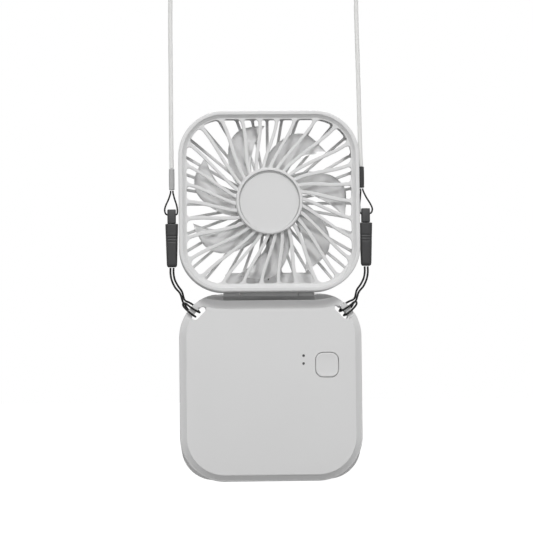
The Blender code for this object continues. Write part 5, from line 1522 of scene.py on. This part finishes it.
@dataclass(frozen=True)
class Impeller:
    """Seven bowed blades on a rotor cup."""

    centre_z: float = 0.0475
    blades: int = 7
    first: float = math.radians(2)
    radius: float = 0.0410
    hub: float = 0.0140
    cup_wall: float = 0.0015
    thickness: float = 0.0012
    depth: float = 0.0076
    back: float = 0.0056
    camber: float = 0.0010
    sweep: float = math.radians(37)
    root_span: float = math.radians(36)
    tip_span: float = math.radians(26)
    tip_round: float = 0.0060
    cup_front: float = -0.0040
    cup_back: float = 0.0060
    bore: float = 0.0013
    nave: float = 0.0025
    bore_rim: float = 0.0030
    nave_back: float = -0.0013
    bore_step: float = 0.0011
    cup_round: float = 0.0012
    cup_flat: float = 0.0016

    def blade(self, phase: float) -> Surface:
        """One blade: sections between a back and a front edge, carried outwards while they turn and narrow.

        At chord c and radial share r the angle is phase + sweep (1 - r) + (c - 1/2) span(r). The depth falls
        by depth * c and bows by camber * sin(pi c), and the thickness tapers to thin rounded edges.

        Args:
            phase: The blade's turn round the hub.

        Returns:
            The surface.
        """
        root = self.hub - self.cup_wall / 2
        radial = np.concatenate((np.linspace(0, 0.78, 24), np.linspace(0.8, 0.995, 22), [0.999]))
        chord = (1 - np.cos(np.linspace(0, math.pi, 25))) / 2
        radius = root + (self.radius - root) * radial
        start = 1 - self.tip_round / (self.radius - root)
        narrow = np.clip((radial - start) / (1 - start), 0, 1)
        corner = self.tip_round / self.radius * (1 - np.sqrt(1 - narrow**2))
        middle = phase + self.sweep * (1 - radial)
        span = self.root_span + (self.tip_span - self.root_span) * radial
        low, high = middle - span / 2, middle + span / 2 - corner
        angle = low[:, None] + (high - low)[:, None] * chord[None]
        surface_y = self.back - self.depth * chord + self.camber * np.sin(math.pi * chord)
        edge = np.minimum(1, np.sqrt(np.clip(1 - (2 * chord - 1) ** 8, 0, 1)))
        tip = np.sqrt(np.clip(1 - np.clip((radial - 0.98) / 0.02, 0, 1) ** 2, 0.08, 1))
        half = self.thickness / 2 * edge[None] * tip[:, None]
        slope = self.depth / (radius * span)
        lean = 1 / np.sqrt(1 + slope**2)
        turned_by = half * (1 - lean[:, None] ** 2) ** 0.5 / radius[:, None]
        faces = []
        for sign in (1, -1):
            around = angle + sign * turned_by
            y = surface_y[None] + sign * half * lean[:, None]
            x, z = radius[:, None] * np.cos(around), radius[:, None] * np.sin(around)
            faces.append(join_xyz(x, y, z + self.centre_z))
        return grid(np.concatenate((faces[0], faces[1][:, -2:0:-1]), axis=1))

    def build(self) -> None:
        """Makes the impeller."""
        front, back, floor = self.cup_front, self.cup_back, self.cup_front + self.cup_wall
        hub, inside, turn = self.hub, self.hub - self.cup_wall, self.cup_round
        cup = revolved(
            profile(
                (self.bore, front + self.bore_step),
                (self.bore, front),
                (self.bore_rim, front),
                (hub - self.cup_flat, front),
                bend((hub - turn, front), (hub, front + turn), 6, True),
                (hub, back),
                (inside, back),
                (inside, floor),
                (self.nave, floor),
                (self.nave, self.nave_back),
                (self.bore, self.nave_back),
            ),
            96,
            Vector((0, 0, self.centre_z)),
            BACKWARDS,
            closed=True,
        )
        blades = [self.blade(self.first + math.tau * number / self.blades) for number in range(self.blades)]
        rotor = at_crown(merged([cup, *blades]))
        shown(make_object("bladed_rotor", rotor, Finish.BLADE.material, 40), "impeller", "impeller")


# The base


@dataclass(frozen=True)
class BaseCase:
    """The base's two covers, its power button and the holes that they share.

    Heights are from the parting line.
    """

    head: FanHead
    width: float = 0.0950
    top: float = -0.00005
    bottom: float = -0.0983
    corner: float = 0.0232
    corner_steps: int = 28
    border: float = 0.0036
    border_depth: float = 0.0034
    border_round: float = 0.0007
    crease: Pair = (0.0003, 0.0002)
    front_bevel: float = 0.0001
    back_bevel: float = 0.00022
    back_round: float = 0.0012
    cavity_top: float = -0.0160
    cavity_corner: float = 0.0160
    tilt: float = math.radians(23.6)
    tilt_depth: float = 0.04
    tilt_floor: float = 0.0110
    tilt_outline: tuple[Pair, ...] = (
        (0.02400, 0), (0.02620, 0.0001), (0.02870, 0.0004), (0.03200, 0.0009), (0.03500, 0.0013),
        (0.03760, 0.0013), (0.03940, 0.0032),
    )
    slot_reach: float = 0.0180
    slot_shift: float = -0.0001
    slot_width: float = 0.0032
    slot_length: float = 0.0090
    bar_half_depth: float = 0.0040
    notch_low: float = -0.0058
    notch_high: float = 0.0020
    notch_reach: float = 0.0120
    button: RoundedBox = RoundedBox(0.0118, 0.0126, 0.0038, 0.0291, -0.0381)
    button_dish: tuple[Pair, ...] = ((0.0036, 0.00022), (0.0022, 0.00018), (0.0012, 0.00008))
    button_edge: float = 0.0005
    flange_width: float = 0.0012
    flange_depth: float = 0.0010
    nub_radius: float = 0.0016
    nub_back: float = -0.0066
    light_x: float = 0.0169
    lights_z: Pair = (-0.0333, -0.0374)
    light_radius: float = 0.0005
    light_gap: float = 0.0002
    usb_z: float = -0.0600
    usb_width: float = 0.0090
    usb_height: float = 0.0033
    screws: tuple[Pair, ...] = (
        (-0.0388, -0.02295), (0.0388, -0.02295), (-0.0360, -0.0885), (0.0360, -0.0885),
    )
    screw_seat: float = 0.0022
    post: Pair = (0.0025, 0.0013)
    post_sink: float = 0.0006
    pin_bore: float = 0.0016
    pin_ends: Pair = (0.0183, 0.0223)

    @property
    def outline(self) -> RoundedBox:
        """The base's outline."""
        return RoundedBox(self.width, self.top - self.bottom, self.corner, 0, (self.top + self.bottom) / 2)

    @property
    def cavity(self) -> RoundedBox:
        """The hollow inside, which leaves the top solid."""
        low = self.bottom + self.head.wall
        return RoundedBox(self.width - 2 * self.head.wall, self.cavity_top - low, self.cavity_corner, 0,
                          (self.cavity_top + low) / 2)

    def corner_block(self, side: int, points: Array, near: float, far: float) -> Surface:
        """A straight block through points given in a corner's own directions, away from it and along its bar.

        Args:
            side: -1 for the left corner and 1 for the right one.
            points: The outline.
            near: Its front depth.
            far: Its back depth.

        Returns:
            The surface.
        """
        diagonal = math.sqrt(0.5)
        out, along = points.T
        x = side * (self.width / 2 - self.corner + diagonal * (out - along))
        z = self.top - self.corner + diagonal * (out + along)
        return prism(np.stack((x, z), -1), near, far)

    def stadium(self, width: float, length: float, steps: int) -> Array:
        """A slot's outline with round ends, round zero: width across, length along.

        Args:
            width: Its size across.
            length: Its size along.
            steps: Segments of each round end.

        Returns:
            Points across and along.
        """
        turn = np.linspace(0, math.pi, steps + 1)
        across, along = width / 2 * np.cos(turn), (length - width) / 2 + width / 2 * np.sin(turn)
        return np.vstack([np.stack((end * across, end * along), -1) for end in (1, -1)])

    def cutters(self) -> list[Surface]:
        """What both covers lose: the head's tilt, the slots with their notches, and the charging port.

        Returns:
            Closed surfaces, from the parting line.
        """
        head, hinge = self.head, self.head.hinge
        half = np.array([*self.tilt_outline, (self.width / 2 + head.overrun, head.centre.z)]) + (0, self.top)
        turn = Matrix.Translation(hinge) @ Matrix.Rotation(self.tilt, 4, "X") @ Matrix.Translation(-hinge)
        made = [prism(mirrored(half), -self.tilt_depth, self.tilt_depth).moved(turn)]
        front, back = head.front - head.overrun, head.back + head.overrun
        line = half[:-1] - (0, hinge.z)
        low = hinge.z - (hinge.y - head.front) * math.tan(self.tilt) + line[:, 1] / math.cos(self.tilt)
        edge = np.vstack((np.stack((line[:, 0], low), -1), (half[-2, 0], head.centre.z)))
        made.append(prism(mirrored(edge), front, head.front + self.tilt_floor))
        slot = self.stadium(self.slot_width, self.slot_length, 16) + (self.slot_reach, self.slot_shift)
        start, reach = self.slot_reach, self.slot_reach + self.notch_reach
        notch = np.array([(start, self.notch_low), (reach, self.notch_low), (reach, self.notch_high),
                          (start, self.notch_high)])
        for side in (-1, 1):
            made.append(self.corner_block(side, slot, front, back))
            made.append(self.corner_block(side, notch, front, -self.bar_half_depth))
            made.append(self.corner_block(side, notch, self.bar_half_depth, back))
        grow = 2 * head.clearance
        depth, height = self.stadium(self.usb_height + grow, self.usb_width + grow, 12).T
        ends = np.array([[self.width / 2 - head.wall - head.overrun], [self.width / 2 + head.overrun]])
        made.append(grid(join_xyz(ends, head.seam + depth[None], self.usb_z + height[None])))
        return made

    def shell(self, name: str, outside: Array, inside: Array) -> Piece:
        """Carries a cover's profiles round the base and its hollow, and makes the shared cuts.

        Args:
            name: The piece's name.
            outside: Profile points from the face to the seam.
            inside: Profile points from the seam into the hollow.

        Returns:
            The cover.
        """
        steps = self.corner_steps
        rings = np.vstack((self.outline.rings(outside, steps), self.cavity.rings(inside, steps)))
        piece = make_object(name, at_crown(grid(rings)), Finish.SHELL.material)
        cut(piece, [at_crown(tool) for tool in self.cutters()])
        return piece

    def front_cover(self) -> None:
        """Makes the front cover: from the panel over the creased border to the seam and into the hollow."""
        head, grow = self.head, self.head.lip_wall + self.head.clearance
        front, floor, back = head.front, head.front + head.wall, head.seam - head.clearance / 2
        wide, narrow = self.crease
        ledge = back - head.lip - head.clearance
        turn, depth = self.border_round, front + self.border_depth
        outside = profile(
            bend((self.border + wide, front), (self.border - narrow, front + narrow), 3, True),
            bend((turn, depth - turn), (0, depth + turn), 6, True),
            (0, back),
        )
        inside = profile(
            (-grow, back),
            (-grow, ledge),
            (0, ledge),
            (0, floor + self.border_depth),
            (self.border - head.wall / 2, floor),
        )
        piece = self.shell("front_shell", outside, inside)
        near, far = front - head.overrun, floor + head.overrun
        bores = [self.button.prism(near, far, 12, head.clearance)]
        for z in self.lights_z:
            bores.append(rod(self.light_radius + self.light_gap, near, far, Vector((self.light_x, 0, z))))
        cut(piece, [at_crown(bore) for bore in bores])
        soften(piece, self.front_bevel, 30)
        smooth_again(piece, 28)
        shown(piece, "base_front_cover", "base")
        posts = [ring(*self.post, floor - self.post_sink, back, 0.0002, 24, Vector((x, 0, z)))
                 for x, z in self.screws]
        posts_piece = make_object("screw_posts", at_crown(merged(posts)), Finish.SHELL.material)
        shown(posts_piece, "base_front_cover", "base")

    def back_cover(self) -> None:
        """Makes the back cover with its hinge knuckles and screw seats."""
        head = self.head
        seam, floor = head.seam + head.clearance / 2, head.back - head.wall
        outside = profile(
            bend((self.back_round, head.back), (0, head.back - self.back_round), 8, True),
            (0, seam),
        )
        inside = profile(
            (-head.lip_wall, seam),
            (-head.lip_wall, seam - head.lip),
            (0, seam - head.lip),
            (0, floor - self.back_round / 2),
            (self.back_round / 2, floor),
        )
        piece = self.shell("back_shell", outside, inside)
        reach, hinge = head.knuckle + head.clearance, head.hinge
        knuckles, bores = [], []
        for side, end in zip((-1, 1), self.pin_ends):
            axis = Vector((side, 0, 0))
            knuckles.append(rod(head.hinge_radius, reach, head.knuckle_end, hinge, axis, 48, head.hinge_edge))
            bores.append(rod(self.pin_bore, head.knuckle, end, hinge, axis, 24))
        cut(piece, [at_crown(solid) for solid in knuckles], join=True)
        room = rod(head.hinge_radius + head.clearance, -reach, reach, hinge, SIDEWAYS, 48)
        near, far = head.back - head.seat_depth, head.back + head.overrun
        seats = [rod(self.screw_seat, near, far, Vector((x, 0, z))) for x, z in self.screws]
        cut(piece, [at_crown(tool) for tool in (room, *bores, *seats)])
        split_wide_faces(piece)
        soften(piece, self.back_bevel, 30)
        smooth_again(piece, 28)
        shown(piece, "base_back_cover", "base")

    def power_button(self) -> None:
        """Makes the button: a rounded cap with a shallow dish, a flange behind the cover and a nub."""
        head, edge = self.head, self.button_edge
        face, behind = head.front, head.front + head.wall + head.clearance
        cap = self.button.swept(
            profile(
                *((inset, face + depth) for inset, depth in self.button_dish),
                bend((edge, face), (0, face + edge), 5, True),
                (0, behind),
                (-self.flange_width, behind),
                (-self.flange_width, behind + self.flange_depth),
            ),
            14,
            False,
        )
        centre = Vector((self.button.centre_x, 0, self.button.centre_z))
        root = behind + self.flange_depth / 2
        nub = rod(self.nub_radius, root, self.nub_back, centre, steps=24, edge=0.0002)
        piece = make_object("button_cap", at_crown(merged([cap, nub])), Finish.SHELL.material, 40)
        shown(piece, "power_button", "power_button")

    def build(self) -> None:
        """Makes the base's pieces."""
        self.front_cover()
        self.back_cover()
        self.power_button()


# What stays from the CAD


@dataclass(frozen=True)
class Inside:
    """Finishes of the nodes that keep their own shape, by the start of their names. The rest is steel."""

    looks: tuple[tuple[str, Finish], ...] = (
        ("motor_stator", Finish.LAMINATION),
        ("motor_board", Finish.BOARD),
        ("circuit_board", Finish.BOARD),
        ("battery", Finish.FOIL),
        ("bearing", Finish.BRONZE),
        ("friction", Finish.BRONZE),
        ("magnet", Finish.MAGNET),
        ("motor_lead", Finish.SHEATH),
        ("light_guide", Finish.ACRYLIC),
    )

    def build(self, frame: Any) -> None:
        """Dresses every kept node.

        Args:
            frame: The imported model's nodes.
        """
        for name, node in frame["nodes"].items():
            chosen = next((finish for start, finish in self.looks if name.startswith(start)), Finish.STEEL)
            node.data.materials.clear()
            node.data.materials.append(chosen.material)


# Stage


@dataclass(frozen=True)
class Lamp:
    """A square area lamp that shines at the fan: its name, place, side and power in watts."""

    name: str
    place: Triple
    size: float
    power: float


@dataclass(frozen=True)
class Studio:
    """A plain white floor, soft lamps and the camera of the photograph."""

    distance: float = 1.10
    azimuth: float = math.radians(-2.5)
    elevation: float = math.radians(-3.0)
    roll: float = math.radians(-0.58)
    view_width: float = 0.2772
    sensor_mm: float = 36.0
    far_clip: float = 50.0
    target: Triple = (-0.0019, -0.0100, -0.1918)
    lamps: tuple[Lamp, ...] = (
        Lamp("key", (0.0, -1.19, 0.73), 0.3, 10.8),
        Lamp("fill", (0.0, -1.90, -0.25), 1.0, 9.0),
        Lamp("overhead", (0.0, -0.15, 1.0), 0.6, 4.5),
        Lamp("behind", (0.0, 1.20, 0.90), 0.8, 12.0),
        Lamp("left", (-1.3, -0.25, -0.15), 1.0, 4.0),
        Lamp("right", (1.3, -0.25, -0.15), 1.0, 4.0),
    )
    floor_z: float = -0.4233
    floor_near: float = -6.0
    floor_far: float = 14.0
    glow_near: float = 0.25
    glow_far: float = 1.1
    glow_least: float = 0.62

    def camera(self) -> None:
        """Makes the camera and sets it as the scene's."""
        data = bpy.data.cameras.new("photo_camera")
        data.sensor_width = self.sensor_mm
        data.lens = self.sensor_mm * self.distance / self.view_width
        data.clip_end = self.far_clip
        camera = bpy.data.objects.new("photo_camera", data)
        bpy.context.scene.collection.objects.link(camera)
        level = math.cos(self.elevation)
        across, deep = level * math.sin(self.azimuth), -level * math.cos(self.azimuth)
        away = Vector((across, deep, math.sin(self.elevation)))
        look = (-away).to_track_quat("-Z", "Y").to_matrix().to_4x4()
        place = Matrix.Translation(Vector(self.target) + away * self.distance)
        camera.matrix_world = place @ look @ Matrix.Rotation(self.roll, 4, "Z")
        bpy.context.scene.camera = camera

    def lights(self) -> None:
        """Hangs the lamps and makes a world that is white to the camera and soft grey to the fan."""
        for lamp in self.lamps:
            data = bpy.data.lights.new(lamp.name, "AREA")
            data.shape = "SQUARE"
            data.size = lamp.size
            data.energy = lamp.power
            made = bpy.data.objects.new(lamp.name, data)
            made.location = lamp.place
            aim = Vector(self.target) - Vector(lamp.place)
            made.rotation_euler = aim.to_track_quat("-Z", "Y").to_euler()
            bpy.context.scene.collection.objects.link(made)
        world = bpy.data.worlds.new("studio")
        bpy.context.scene.world = world
        world.use_nodes = True
        tree = world.node_tree
        tree.nodes.clear()
        rays = add_node(tree, "ShaderNodeLightPath").outputs
        shown_white = {0: rays["Is Camera Ray"], 1: rays["Is Transmission Ray"]}
        seen = add_node(tree, "ShaderNodeMath", shown_white, operation="MAXIMUM")
        soft = add_node(tree, "ShaderNodeBackground", {"Color": linear("#E8E8E8"), "Strength": 0.22})
        white = add_node(tree, "ShaderNodeBackground", {"Color": linear("#FFFFFF"), "Strength": 1.0})
        shares = {0: seen.outputs[0], 1: soft.outputs[0], 2: white.outputs[0]}
        mixed = add_node(tree, "ShaderNodeMixShader", shares)
        add_node(tree, "ShaderNodeOutputWorld", {"Surface": mixed.outputs[0]})

    def floor(self) -> None:
        """A wide pale floor under the hanging fan, which keeps its shadow and turns white away from it."""
        near, far, low = self.floor_near, self.floor_far, self.floor_z
        made = Shading("pale studio floor")
        rays = made.add("ShaderNodeLightPath").outputs["Is Camera Ray"]
        away = made.add("ShaderNodeVectorMath", {0: made.place, 1: (0, 0, low)}, operation="DISTANCE")
        ranges = {"From Min": self.glow_near, "From Max": self.glow_far, "To Min": self.glow_least}
        inputs = {"Value": away.outputs["Value"], **ranges, "To Max": 1.0}
        share = made.add("ShaderNodeMapRange", inputs, interpolation_type="SMOOTHSTEP")
        glow = made.calculate("MULTIPLY", rays, share.outputs["Result"])
        made.tree.links.new(glow, made.shader.inputs["Emission Strength"])
        mesh = bpy.data.meshes.new("floor")
        mesh.from_pydata([(near, near, low), (-near, near, low), (-near, far, low), (near, far, low)], [],
                         [(0, 1, 2, 3)])
        mesh.materials.append(made.done(
            {"Base Color": linear("#9C9C9C"), "Roughness": 0.9, "Emission Color": linear("#FFFFFF")}
        ))
        floor = bpy.data.objects.new("floor", mesh)
        bpy.context.scene.collection.objects.link(floor)
        bpy.context.scene.view_settings.view_transform = "Standard"


def main() -> None:
    """Builds the camera and cords first, then the rest."""
    logging.basicConfig(level=logging.INFO, format="%(message)s")
    for obj in list(bpy.data.objects):
        bpy.data.objects.remove(obj, do_unlink=True)
    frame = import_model()
    studio = Studio()
    studio.camera()
    head = FanHead()
    for assembly in (Lanyard(), head, Impeller(), BaseCase(head)):
        assembly.build()
    Inside().build(frame)
    studio.lights()
    studio.floor()


if __name__ == "__main__":
    main()
